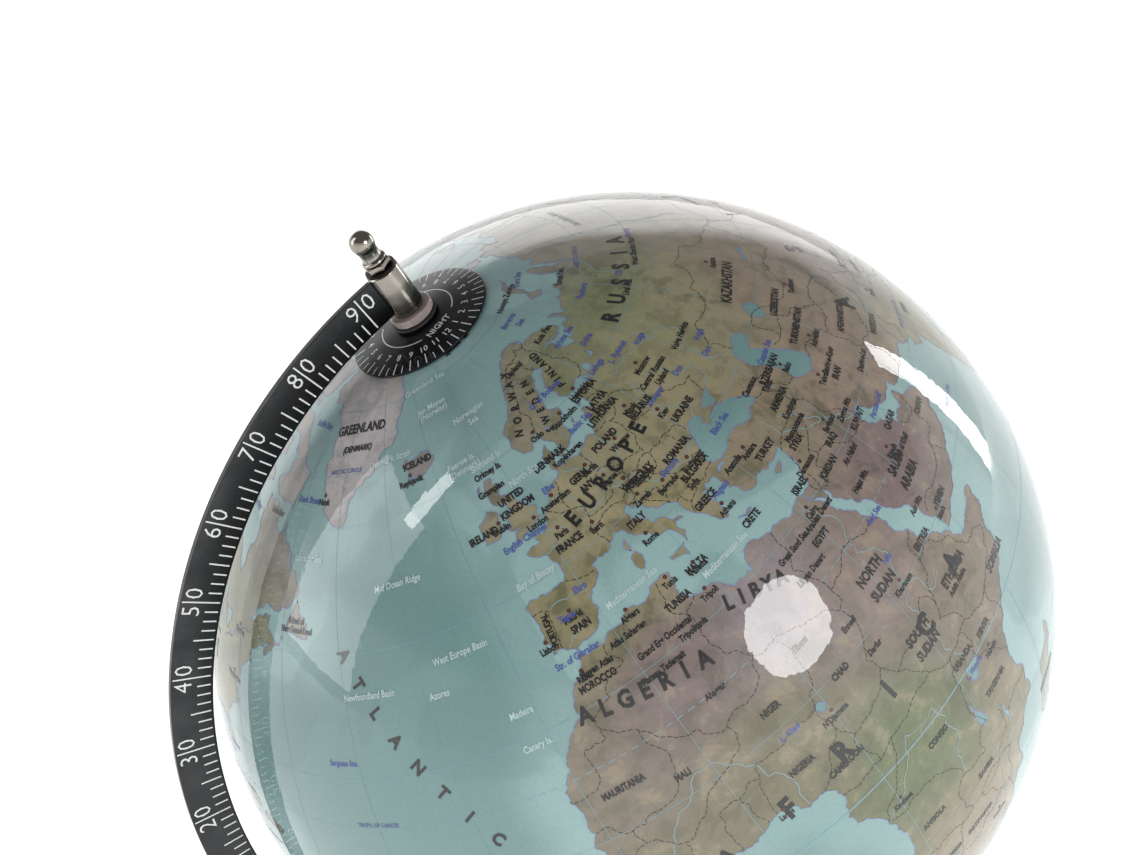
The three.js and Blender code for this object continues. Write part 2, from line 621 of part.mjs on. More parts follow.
/** Flanged bush that carries the ball on the pin; its flange sits under the shell. */
function bushGeometry() {
  const top = BALL_RADIUS - BUSH_TOP_INSET;
  const bottom = top - BUSH_LENGTH;
  const underShell = insideShell(BUSH_FLANGE_RADIUS);
  return turned([
    [POLE_BORE_RADIUS, bottom],
    [BUSH_RADIUS, bottom],
    [BUSH_RADIUS, underShell - BUSH_FLANGE_THICKNESS],
    [BUSH_FLANGE_RADIUS, underShell - BUSH_FLANGE_THICKNESS],
    [BUSH_FLANGE_RADIUS, underShell],
    [BUSH_RADIUS, underShell],
    [BUSH_RADIUS, top],
    [POLE_BORE_RADIUS, top],
  ], SMALL_SEGMENTS);
}

/** Wooden spar between the two bushes, bored at both ends to take them. */
function sparGeometry() {
  const bushEnd = BALL_RADIUS - BUSH_TOP_INSET - BUSH_LENGTH;
  const boreEnd = bushEnd - SLIDE_GAP;
  const end = bushEnd + SPAR_OVERLAP;
  const spar = rod(SPAR_RADIUS, -end, end, 2 * TURNED_CHAMFER, SMALL_SEGMENTS);
  const bores = [-1, 1].map((side) => rod(
    BUSH_RADIUS + SEAT_GAP,
    side > 0 ? boreEnd : -(end + 1),
    side > 0 ? end + 1 : -boreEnd,
    TURNED_CHAMFER / 2,
    SMALL_SEGMENTS,
  ));
  return cut(spar, ...bores);
}

function equatorBandGeometry() {
  const outer = insideShell(BAND_WIDTH / 2);
  return sleeve(outer - BAND_THICKNESS, outer, -BAND_WIDTH / 2, BAND_WIDTH / 2, BALL_SEGMENTS);
}

function ballPieces() {
  const south = new THREE.Group();
  south.rotation.x = Math.PI;
  south.add(
    piece('south_hemisphere', hemisphereGeometry(), southMap),
    piece('south_pole_bush', bushGeometry(), nylon),
  );
  return [
    piece('north_hemisphere', hemisphereGeometry(), northMap),
    piece('north_pole_bush', bushGeometry(), nylon),
    piece('equator_band', equatorBandGeometry(), board),
    piece('axis_spar', sparGeometry(), beech),
    south,
  ];
}

// ---- Assembly -----------------------------------------------------------------------

function standPieces() {
  const feltRadius = FOOT_RADIUS - FELT_INSET;
  return [
    piece('felt_pad', rod(feltRadius, 0, FELT_THICKNESS, TURNED_CHAMFER / 2, LARGE_SEGMENTS), felt),
    piece('ballast', ballastGeometry(), castIron),
    piece('foot', footGeometry(), satinNickel),
    piece('stem', stemGeometry(), brightNickel),
    piece('stem_bolt', stemBoltGeometry(), zincSteel),
    piece('stem_bolt_washer', stemWasherGeometry(), zincSteel),
    piece('meridian_saddle', saddleGeometry(), brightNickel),
    ...saddleFasteners(),
  ];
}

function axisPieces() {
  const axis = new THREE.Group();
  axis.position.z = BALL_HEIGHT;
  axis.rotation.y = -radians(AXIS_TILT);
  const southStack = pivotStack('south');
  southStack.rotation.x = Math.PI;
  axis.add(
    piece('meridian', meridianGeometry(), blackNickel),
    pivotStack('north'),
    southStack,
    piece('time_dial', dialGeometry(), dialBlack),
    ...ballPieces(),
  );
  return axis;
}

const globe = new THREE.Group();
globe.add(...standPieces(), axisPieces());

export default globe;
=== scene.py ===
"""Desktop globe on a stand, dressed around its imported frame: a lacquered map ball on a tilted axis,
an engraved half meridian, a black time dial and a turned stand. Millimetres in the sizes, metres in Blender."""

import json
import logging
import math
import random
from collections.abc import Callable, Iterable, Mapping, Sequence
from dataclasses import dataclass, field
from enum import Enum
from typing import Any

import bpy
import numpy as np
from mathutils import Matrix, Vector
from mathutils.geometry import delaunay_2d_cdt


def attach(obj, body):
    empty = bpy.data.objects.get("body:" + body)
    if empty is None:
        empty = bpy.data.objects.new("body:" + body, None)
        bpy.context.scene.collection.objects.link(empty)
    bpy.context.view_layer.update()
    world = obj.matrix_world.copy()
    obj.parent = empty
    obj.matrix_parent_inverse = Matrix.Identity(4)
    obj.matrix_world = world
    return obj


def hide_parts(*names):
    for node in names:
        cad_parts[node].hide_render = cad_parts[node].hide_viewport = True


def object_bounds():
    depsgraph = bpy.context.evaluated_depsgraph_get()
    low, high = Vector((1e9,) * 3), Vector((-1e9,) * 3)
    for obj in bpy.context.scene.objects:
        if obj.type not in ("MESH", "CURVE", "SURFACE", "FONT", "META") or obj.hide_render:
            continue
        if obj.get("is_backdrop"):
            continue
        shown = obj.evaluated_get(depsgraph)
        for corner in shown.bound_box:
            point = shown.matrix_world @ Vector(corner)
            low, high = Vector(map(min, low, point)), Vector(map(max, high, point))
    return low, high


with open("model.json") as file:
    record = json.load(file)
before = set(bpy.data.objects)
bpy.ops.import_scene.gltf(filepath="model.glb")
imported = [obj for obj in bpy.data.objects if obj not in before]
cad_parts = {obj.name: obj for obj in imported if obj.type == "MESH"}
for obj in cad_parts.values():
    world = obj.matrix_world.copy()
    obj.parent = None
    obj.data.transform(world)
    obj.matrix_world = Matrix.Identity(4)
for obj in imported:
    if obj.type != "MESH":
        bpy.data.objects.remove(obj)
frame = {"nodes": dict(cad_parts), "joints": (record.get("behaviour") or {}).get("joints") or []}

logging.basicConfig(level=logging.INFO, format="%(message)s")
LOG = logging.getLogger("globe")

MM = 0.001
"""Metres in a millimetre."""

BALL_SPIN: dict[str, Any] = next(j for j in frame["joints"] if j["name"] == "ball_spin")
BALL_CENTRE = Vector(BALL_SPIN["pos_m"])
POLE = Vector(BALL_SPIN["axis"])
BALL_RADIUS = 150.0
AXIS_FRAME = Matrix.Translation(BALL_CENTRE) @ Matrix.Rotation(math.atan2(POLE.x, POLE.z), 4, "Y")
"""Turns a point on the axis's own frame, with the ball's centre at its origin, into the part's frame."""
SOUTHWARD = AXIS_FRAME @ Matrix.Rotation(math.pi, 4, "X")
"""The same frame turned over, for the pieces at the south pole."""
TROPIC, POLAR_CIRCLE = 23.44, 66.56
"""Latitudes in degrees."""
GREENWICH = math.radians(-100.1)
"""Where the map's zero meridian stands round the axis, from the side away from the meridian ring."""
LEAN_WAY = Vector((-0.977, -0.213, 0.0))
PRINT_LEAN = np.array(Matrix.Rotation(math.radians(3.5), 3, LEAN_WAY))
"""Turns the printed map off the pivots, so that its towns lie where the measured ones do."""

Outline = Sequence[tuple[float, float]]
Links = Mapping[str | int, Any]


# ---------------------------------------------------------------------------------------------
# Small tools
# ---------------------------------------------------------------------------------------------


def linear(hex_colour: str, depth: float = 1.0) -> tuple[float, float, float, float]:
    """Turns an sRGB hex colour into the linear one that shaders take.

    Args:
        hex_colour: Six hex digits, with or without a leading hash.
        depth: Share of each channel that is kept, before it turns linear.

    Returns:
        Linear red, green and blue, and an alpha of one.
    """
    digits = hex_colour.lstrip("#")
    shares = [int(digits[i : i + 2], 16) / 255 * depth for i in (0, 2, 4)]
    red, green, blue = (c / 12.92 if c <= 0.04045 else ((c + 0.055) / 1.055) ** 2.4 for c in shares)
    return red, green, blue, 1.0


def per_metre(size_mm: float) -> float:
    """Gives the pattern scale that makes one repeat as long as a size in millimetres."""
    return 1 / (size_mm * MM)


def smooth(value: np.ndarray | float, low: float, high: float) -> Any:
    """Gives 0 below low, 1 above high and an even ease between them."""
    share = np.clip((value - low) / (high - low), 0, 1)
    return share * share * (3 - 2 * share)


class Surface:
    """A material being wired, with its object coordinates and its shader at hand."""

    def __init__(self, name: str) -> None:
        """Starts a material of that name with a plain shader."""
        self.material = bpy.data.materials.new(name)
        self.material.use_nodes = True
        self.tree = self.material.node_tree
        self.shader = self.tree.nodes["Principled BSDF"]
        self.place = self.add("ShaderNodeTexCoord").outputs["Object"]

    def add(self, kind: str, links: Links | None = None, **settings: Any) -> bpy.types.Node:
        """Adds a node with its settings and its links.

        Args:
            kind: Blender's name for the node's type.
            links: For each input, by name or number, an output to link or a value to hold.
            settings: The node's own properties.

        Returns:
            The new node.
        """
        made = self.tree.nodes.new(kind)
        for key, value in settings.items():
            setattr(made, key, value)
        self.feed(made, links or {})
        return made

    def feed(self, target: bpy.types.Node, links: Links) -> None:
        """Links outputs into a node's inputs, or sets the inputs to values."""
        for key, value in links.items():
            if isinstance(value, bpy.types.NodeSocket):
                self.tree.links.new(value, target.inputs[key])
            else:
                target.inputs[key].default_value = value

    def noise(self, size_mm: float, detail: float, vector: Any = None, **more: float) -> bpy.types.NodeSocket:
        """Adds a noise whose repeat is a size in millimetres, on the piece's own coordinates unless told."""
        where = self.place if vector is None else vector
        links = {"Vector": where, "Scale": per_metre(size_mm), "Detail": detail, **more}
        return self.add("ShaderNodeTexNoise", links).outputs["Fac"]

    def blend(self, share: Any, first: Any, second: Any) -> bpy.types.NodeSocket:
        """Mixes two colours by a share."""
        return self.add("ShaderNodeMix", {0: share, 6: first, 7: second}, data_type="RGBA").outputs[2]

    def span(self, value: Any, source: tuple[float, float], target: tuple[float, float],
             **settings: Any) -> bpy.types.NodeSocket:
        """Carries a value from one range of numbers to another."""
        ends = dict(zip(("From Min", "From Max", "To Min", "To Max"), (*source, *target)))
        return self.add("ShaderNodeMapRange", {"Value": value, **ends}, **settings).outputs[0]

    def bump(self, height: Any, strength: float, depth_mm: float) -> bpy.types.NodeSocket:
        """Turns a pattern into relief of a depth in millimetres."""
        return self.add("ShaderNodeBump", {
            "Height": height, "Strength": strength, "Distance": depth_mm * MM}).outputs[0]

    def finish(self, links: Links) -> bpy.types.Material:
        """Feeds the shader and gives the finished material."""
        self.feed(self.shader, links)
        return self.material


# ---------------------------------------------------------------------------------------------
# Finishes
# ---------------------------------------------------------------------------------------------


@dataclass(frozen=True)
class Plated:
    """A plated or bare metal: two tones that drift like handling marks, and fine wiped scratches."""

    name: str
    colour: str
    shade: str
    roughness: float
    spread: float
    smudge_mm: float = 9.0
    scratch_mm: float = 0.35
    depth_mm: float = 0.002

    def material(self) -> bpy.types.Material:
        """Builds the metal, with the default IOR."""
        surface = Surface(self.name)
        smudge = surface.noise(self.smudge_mm, 5.0, Roughness=0.62)
        stretch = surface.add("ShaderNodeMapping", {"Vector": surface.place, "Scale": (1.0, 1.0, 0.12)})
        scratch = surface.noise(self.scratch_mm, 3.0, stretch.outputs[0])
        return surface.finish({
            "Base Color": surface.blend(smudge, linear(self.colour), linear(self.shade)), "Metallic": 1.0,
            "Roughness": surface.span(smudge, (0.3, 0.75), (self.roughness, self.roughness + self.spread)),
            "Normal": surface.bump(scratch, 0.35, self.depth_mm)})


@dataclass(frozen=True)
class Solid:
    """A plastic, rubber, board or painted surface: a mottled colour with a fine moulded or sprayed grain."""

    name: str
    colour: str
    shade: str
    roughness: float
    ior: float = 1.5
    grain_mm: float = 0.6
    depth_mm: float = 0.01
    mottle_mm: float = 6.0
    coat: float = 0.0
    transmission: float = 0.0

    def material(self) -> bpy.types.Material:
        """Builds the mottled solid colour with its grain."""
        surface = Surface(self.name)
        mottle, grain = surface.noise(self.mottle_mm, 4.0), surface.noise(self.grain_mm, 3.0)
        haze = surface.span(mottle, (0.3, 0.7), (self.roughness * 0.85, min(1.0, self.roughness * 1.2)))
        return surface.finish({
            "Base Color": surface.blend(mottle, linear(self.colour), linear(self.shade)),
            "Roughness": haze, "IOR": self.ior,
            "Transmission Weight": self.transmission, "Coat Weight": self.coat,
            "Coat Roughness": 0.03, "Normal": surface.bump(grain, 0.5, self.depth_mm)})


@dataclass(frozen=True)
class Felt:
    """Pressed wool felt: matted fibres that break up the colour and catch a soft sheen."""

    name: str = "pressed_wool_felt"
    colour: str = "#27382F"
    fibre: str = "#3F5247"
    fibre_mm: float = 1.1

    def material(self) -> bpy.types.Material:
        """Builds the fibres as stretched noise, drawn a little coarser than wool so that they show."""
        surface = Surface(self.name)
        bend = surface.add("ShaderNodeTexNoise", {"Vector": surface.place, "Scale": per_metre(4), "Detail": 2.0})
        drift = surface.add("ShaderNodeVectorMath", {
            0: bend.outputs["Color"], "Scale": 3 * MM}, operation="SCALE")
        along = surface.add("ShaderNodeVectorMath", {0: surface.place, 1: drift.outputs[0]}, operation="ADD")
        fibre = surface.noise(self.fibre_mm, 6.0, along.outputs[0], Roughness=0.7)
        return surface.finish({
            "Base Color": surface.blend(fibre, linear(self.colour), linear(self.fibre)), "Roughness": 1.0,
            "Sheen Weight": 0.4, "Normal": surface.bump(fibre, 0.8, 0.3)})


@dataclass(frozen=True)
class Beech:
    """Turned beech: straight pale grain along the spar, with short darker ray flecks."""

    name: str = "turned_beech"
    colour: str = "#C99F6E"
    shade: str = "#A97B4C"
    ring_mm: float = 2.4

    def material(self) -> bpy.types.Material:
        """Builds the grain, drawn out along the part's height, which the spar nearly follows."""
        surface = Surface(self.name)
        drawn = surface.add("ShaderNodeMapping", {"Vector": surface.place, "Scale": (1.0, 1.0, 0.06)})
        grain = surface.noise(self.ring_mm, 6.0, drawn.outputs[0], Distortion=0.4)
        fleck = surface.noise(0.5, 2.0, drawn.outputs[0])
        both = surface.add("ShaderNodeMath", {0: grain, 1: fleck}, operation="MULTIPLY").outputs[0]
        return surface.finish({
            "Base Color": surface.blend(both, linear(self.colour), linear(self.shade)), "Roughness": 0.6,
            "Normal": surface.bump(grain, 0.3, 0.05)})


def lacquer_ripple(surface: Surface, depth_mm: float = 0.11) -> bpy.types.NodeSocket:
    """Gives the normal of the thick lacquer over the paper, the same on every printed piece.

    Args:
        surface: The material being wired.
        depth_mm: Height of the long swells left by the brush and the paper's edges.

    Returns:
        The normal that the coat follows.
    """
    return surface.bump(surface.noise(15, 3.5, Roughness=0.5), 1.0, depth_mm)


@dataclass(frozen=True)
class PrintedMap:
    """Lacquered map paper: printed tints with hill shading on land and depth tints at sea, under a clear coat."""

    name: str = "lacquered_map_paper"
    hill_shade: str = "#3F4226"
    hill_light: str = "#A3957A"
    sea_deep: str = "#5C7E7D"
    hill_mm: float = 2.6
    patch_mm: float = 9.0
    depth_mm: float = 60.0

    def material(self) -> bpy.types.Material:
        """Builds the print from the tint and ground attributes and lays the coat over it."""
        surface = Surface(self.name)
        tint = surface.add("ShaderNodeVertexColor", layer_name="tint").outputs["Color"]
        ground = surface.add("ShaderNodeAttribute", attribute_name="ground").outputs["Fac"]
        land = surface.add("ShaderNodeMath", {0: ground, 1: 0.1}, operation="GREATER_THAN").outputs[0]
        ridge = surface.add("ShaderNodeTexNoise", {
            "Vector": surface.place, "Scale": per_metre(self.hill_mm), "Detail": 5.0, "Roughness": 0.6},
            noise_type="RIDGED_MULTIFRACTAL", normalize=True).outputs["Fac"]
        patch = surface.noise(self.patch_mm, 6.0, Roughness=0.62, Distortion=0.3)
        basin = surface.noise(self.depth_mm, 3.0, Roughness=0.45, Distortion=0.8)
        dark = self.share(surface, patch, 0.47, 0.62, ground, 0.5)
        green = surface.blend(dark, tint, linear(self.hill_shade))
        light = self.share(surface, patch, 0.46, 0.34, land, 0.4)
        pale = surface.blend(light, green, linear(self.hill_light))
        crest = self.share(surface, ridge, 0.42, 0.88, ground, 0.5)
        hills = surface.blend(crest, pale, linear(self.hill_shade))
        at_sea = surface.add("ShaderNodeMath", {0: 1.0, 1: land}, operation="SUBTRACT").outputs[0]
        deep = self.share(surface, basin, 0.485, 0.53, at_sea, 0.32)
        print_tone = surface.blend(deep, hills, linear(self.sea_deep))
        speckle = surface.span(surface.noise(0.9, 4.0), (0.3, 0.7), (0.94, 1.05))
        paper = surface.add("ShaderNodeVectorMath", {
            0: print_tone, "Scale": speckle}, operation="SCALE").outputs[0]
        ripple = lacquer_ripple(surface)
        return surface.finish({
            "Base Color": paper, "Roughness": 0.55, "Specular IOR Level": 0.3, "Coat Weight": 1.0,
            "Coat Roughness": 0.015, "Coat IOR": 1.5, "Coat Normal": ripple})

    def share(self, surface: Surface, value: Any, low: float, high: float, mask: Any, most: float) -> Any:
        """Gives how much of a tint shows: an eased pattern held inside a mask.

        Args:
            surface: The material being wired.
            value: The pattern.
            low: The pattern's value where none of the tint shows.
            high: The pattern's value where all of it shows.
            mask: Where the tint may show, from 0 to 1.
            most: The largest share.

        Returns:
            The share as an output.
        """
        eased = surface.span(value, (low, high), (0.0, most), interpolation_type="SMOOTHSTEP")
        return surface.add("ShaderNodeMath", {0: eased, 1: mask}, operation="MULTIPLY").outputs[0]


@dataclass(frozen=True)
class Ink:
    """Printing ink under the same lacquer as the map, slightly uneven where the press laid it thin."""

    name: str
    colour: str
    thin: str
    coat: float = 1.0

    def material(self) -> bpy.types.Material:
        """Builds the ink and lays the map's coat over it."""
        surface = Surface(self.name)
        tone = surface.blend(surface.noise(1.3, 3.0), linear(self.colour), linear(self.thin))
        return surface.finish({
            "Base Color": tone, "Roughness": 0.5, "Specular IOR Level": 0.3,
            "Coat Weight": self.coat, "Coat Roughness": 0.015, "Coat IOR": 1.5,
            "Coat Normal": lacquer_ripple(surface)})


class Shop(Enum):
    """Every finish on the globe, each named for what the real one is."""

    # Black nickel over buffed steel: a dark mirror with faint brown drift and wiping marks.
    BLACK_NICKEL = Plated("black_nickel_plate", "#4A4B4C", "#2A2B2C", 0.15, 0.2, 13.0, 0.6, 0.006)
    # Bright nickel on turned brass: a warm mirror with soft smudges.
    BRIGHT_NICKEL = Plated("bright_nickel_plate", "#ABA59C", "#78736C", 0.09, 0.14)
    # Satin nickel on spun steel: fine turned haze that widens each highlight.
    SATIN_NICKEL = Plated("satin_nickel_plate", "#A8A49D", "#8D8982", 0.27, 0.1, 22.0, 0.4, 0.006)
    # Zinc on threaded steel: a paler, greyer and duller metal.
    ZINC = Plated("zinc_plated_steel", "#A9ABAB", "#8C9196", 0.38, 0.14)
    # Blued spring steel: nearly black with a brown cast.
    BLUED = Plated("blued_spring_steel", "#2D2927", "#1E1C1E", 0.32, 0.12)
    # Sand-cast iron: dark, coarse and dull.
    CAST_IRON = Plated("sand_cast_iron", "#4A4948", "#33302E", 0.62, 0.2, 6.0, 1.2, 0.15)
    # Turned acrylic: clear with a smoky pink edge.
    ACRYLIC = Solid("turned_clear_acrylic", "#CDBFBA", "#B5A6A2", 0.12, 1.49, 0.4, 0.003, 5.0, 0.0, 0.55)
    # Moulded nitrile rubber: black with a dusty bloom.
    RUBBER = Solid("moulded_nitrile_rubber", "#151515", "#232221", 0.7, 1.52, 0.25, 0.02, 3.0)
    # Lacquered tinplate: deep gloss black that mirrors what stands over it.
    DIAL_LACQUER = Solid("black_lacquered_tinplate", "#0E0F12", "#151619", 0.3, 1.22, 0.3, 0.0015, 12.0, 0.3)
    # Moulded nylon: milky and waxy.
    NYLON = Solid("moulded_nylon", "#D8D4C8", "#C9C4B5", 0.45, 1.53)
    # Grey board: pulp fibres and a dry surface.
    GREY_BOARD = Solid("grey_board", "#8C8478", "#7A7267", 0.9, 1.5, 0.8, 0.05)
    # White screen print on the dial.
    DIAL_WHITE = Solid("white_screen_print", "#D9DADB", "#C3C5C8", 0.4, 1.5, 0.2, 0.002, 2.0, 0.6)
    # White enamel wiped into the meridian's cuts.
    CUT_WHITE = Solid("white_wiped_enamel", "#E9EAE8", "#C7C9C8", 0.25, 1.5, 0.3, 0.004, 1.5, 0.5)
    FELT = Felt()
    BEECH = Beech()
    MAP = PrintedMap()
    # Inks of the map's print.
    INK_BLACK = Ink("black_map_ink", "#0F1012", "#232221")
    INK_BLUE = Ink("blue_map_ink", "#3D4C9A", "#5563A6")
    INK_PALE = Ink("pale_map_ink", "#BCCFD0", "#AFC4C6")
    INK_GRID = Ink("grid_blue_map_ink", "#7199A8", "#82A5B0")
    INK_COAST = Ink("coast_violet_map_ink", "#6E7BA8", "#7F8DB4")
    INK_RIVER = Ink("river_blue_map_ink", "#7C989C", "#88A3A5")
    INK_TOWN = Ink("town_red_map_ink", "#5A2624", "#6B322E")

    def material(self) -> bpy.types.Material:
        """Gives this finish's material, made the first time it is asked for."""
        return bpy.data.materials.get(self.value.name) or self.value.material()


# ---------------------------------------------------------------------------------------------
# Modelling tools
# ---------------------------------------------------------------------------------------------


def only(piece: bpy.types.Object) -> bpy.types.Object:
    """Deselects everything and makes one piece selected and active."""
    bpy.ops.object.select_all(action="DESELECT")
    piece.select_set(True)
    bpy.context.view_layer.objects.active = piece
    return piece


def from_points(name: str, points: Any, edges: Any = (), faces: Any = ()) -> bpy.types.Object:
    """Makes a mesh object from bare points in metres, with edges or faces between them."""
    mesh = bpy.data.meshes.new(name)
    mesh.from_pydata(points, edges, faces)
    piece = bpy.data.objects.new(name, mesh)
    bpy.context.scene.collection.objects.link(piece)
    return only(piece)


def apply_modifier(piece: bpy.types.Object, kind: str, **settings: Any) -> None:
    """Adds a modifier with its settings and applies it."""
    only(piece)
    modifier = piece.modifiers.new(kind.lower(), kind)
    for key, value in settings.items():
        setattr(modifier, key, value)
    bpy.ops.object.modifier_apply(modifier=modifier.name)


def rounded(piece: bpy.types.Object, width_mm: float, sharper_than: float = 32.0) -> bpy.types.Object:
    """Rounds a piece's sharp edges and shades the rest smooth.

    Args:
        piece: The piece to finish.
        width_mm: Width of the rounding.
        sharper_than: Smallest angle in degrees that counts as an edge.

    Returns:
        The same piece.
    """
    if width_mm > 0:
        apply_modifier(piece, "BEVEL", width=width_mm * MM, segments=3, limit_method="ANGLE",
                       angle_limit=math.radians(sharper_than), use_clamp_overlap=True)
    only(piece)
    bpy.ops.object.shade_smooth_by_angle(angle=math.radians(sharper_than))
    return piece


def close_and_turn_out(piece: bpy.types.Object) -> None:
    """Merges a mesh's doubles and makes its faces point outwards."""
    only(piece)
    bpy.ops.object.mode_set(mode="EDIT")
    bpy.ops.mesh.select_all(action="SELECT")
    bpy.ops.mesh.remove_doubles(threshold=0.0005 * MM)
    bpy.ops.mesh.fill_holes(sides=0)
    bpy.ops.mesh.select_all(action="SELECT")
    bpy.ops.mesh.normals_make_consistent(inside=False)
    bpy.ops.object.mode_set(mode="OBJECT")


def turned(name: str, outline: Outline, steps: int = 96, round_mm: float = 0.15) -> bpy.types.Object:
    """Spins an outline of radii and heights in millimetres about the piece's own axis.

    Args:
        name: The piece's name.
        outline: Radius and height of each corner. An outline off the axis is closed on itself.
        steps: Flats round the piece.
        round_mm: Rounding of the sharp edges.

    Returns:
        The closed piece.
    """
    points = [(radius * MM, 0.0, height * MM) for radius, height in outline]
    edges = [(i, i + 1) for i in range(len(points) - 1)]
    if all(radius > 0 for radius, _ in outline):
        edges.append((len(points) - 1, 0))
    piece = from_points(name, points, edges)
    bpy.ops.object.mode_set(mode="EDIT")
    bpy.ops.mesh.select_all(action="SELECT")
    bpy.ops.mesh.spin(steps=steps, angle=math.tau, center=(0, 0, 0), axis=(0, 0, 1))
    bpy.ops.object.mode_set(mode="OBJECT")
    close_and_turn_out(piece)
    return rounded(piece, round_mm)


def arc(across: float, up: float, radius: float, start: float, end: float,
        steps: int = 12) -> list[tuple[float, float]]:
    """Gives outline points of an arc about a centre, between two angles in degrees."""
    angles = [math.radians(start + (end - start) * i / steps) for i in range(steps + 1)]
    return [(across + radius * math.cos(a), up + radius * math.sin(a)) for a in angles]


def washer(name: str, bore: float, radius: float, bottom: float, top: float) -> bpy.types.Object:
    """Turns a flat washer or sleeve between two heights."""
    return turned(name, [(bore, bottom), (radius, bottom), (radius, top), (bore, top)])


def hexagon(name: str, across_flats: float, bottom: float, top: float) -> bpy.types.Object:
    """Adds a six-sided prism, measured across its flats."""
    bpy.ops.object.select_all(action="DESELECT")
    bpy.ops.mesh.primitive_cylinder_add(
        vertices=6, radius=across_flats / math.sqrt(3) * MM, depth=(top - bottom) * MM,
        location=(0, 0, (top + bottom) / 2 * MM), end_fill_type="NGON")
    piece = bpy.context.active_object
    piece.name = name
    bpy.ops.object.transform_apply(location=True, rotation=True, scale=True)
    return piece


def carved(piece: bpy.types.Object, tool: bpy.types.Object, operation: str = "DIFFERENCE") -> bpy.types.Object:
    """Cuts a piece with a tool, which is used up."""
    apply_modifier(piece, "BOOLEAN", object=tool, operation=operation, solver="EXACT")
    bpy.data.objects.remove(tool)
    return piece


def block(size: tuple[float, float, float], centre: tuple[float, float, float]) -> bpy.types.Object:
    """Adds a box of a size at a place, both in millimetres, to cut with."""
    bpy.ops.object.select_all(action="DESELECT")
    bpy.ops.mesh.primitive_cube_add(size=1, location=[c * MM for c in centre], scale=[s * MM for s in size])
    bpy.ops.object.transform_apply(location=True, rotation=True, scale=True)
    return bpy.context.active_object


def mount(piece: bpy.types.Object, body: str, finish: Shop, slot: str, *nodes: str,
          place: Matrix | None = None) -> bpy.types.Object:
    """Puts a finished mesh in its place, dresses it and lets it ride.

    Args:
        piece: The piece, still in its own frame.
        body: The body that it moves with.
        finish: Its finish.
        slot: The record's material slot for it; it is not used.
        nodes: The frame's nodes that it stands for.
        place: Where its own frame goes.

    Returns:
        The mounted piece.
    """
    if place is not None:
        piece.data.transform(place)
    piece.data.materials.clear()
    piece.data.materials.append(finish.material())
    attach(piece, body)
    if nodes:
        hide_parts(*nodes)
    LOG.info("%s: %d faces on %s", piece.name, len(piece.data.polygons), body)
    return piece


# ---------------------------------------------------------------------------------------------
# The atlas: places as longitude and latitude in degrees, drawn from general geography
# ---------------------------------------------------------------------------------------------

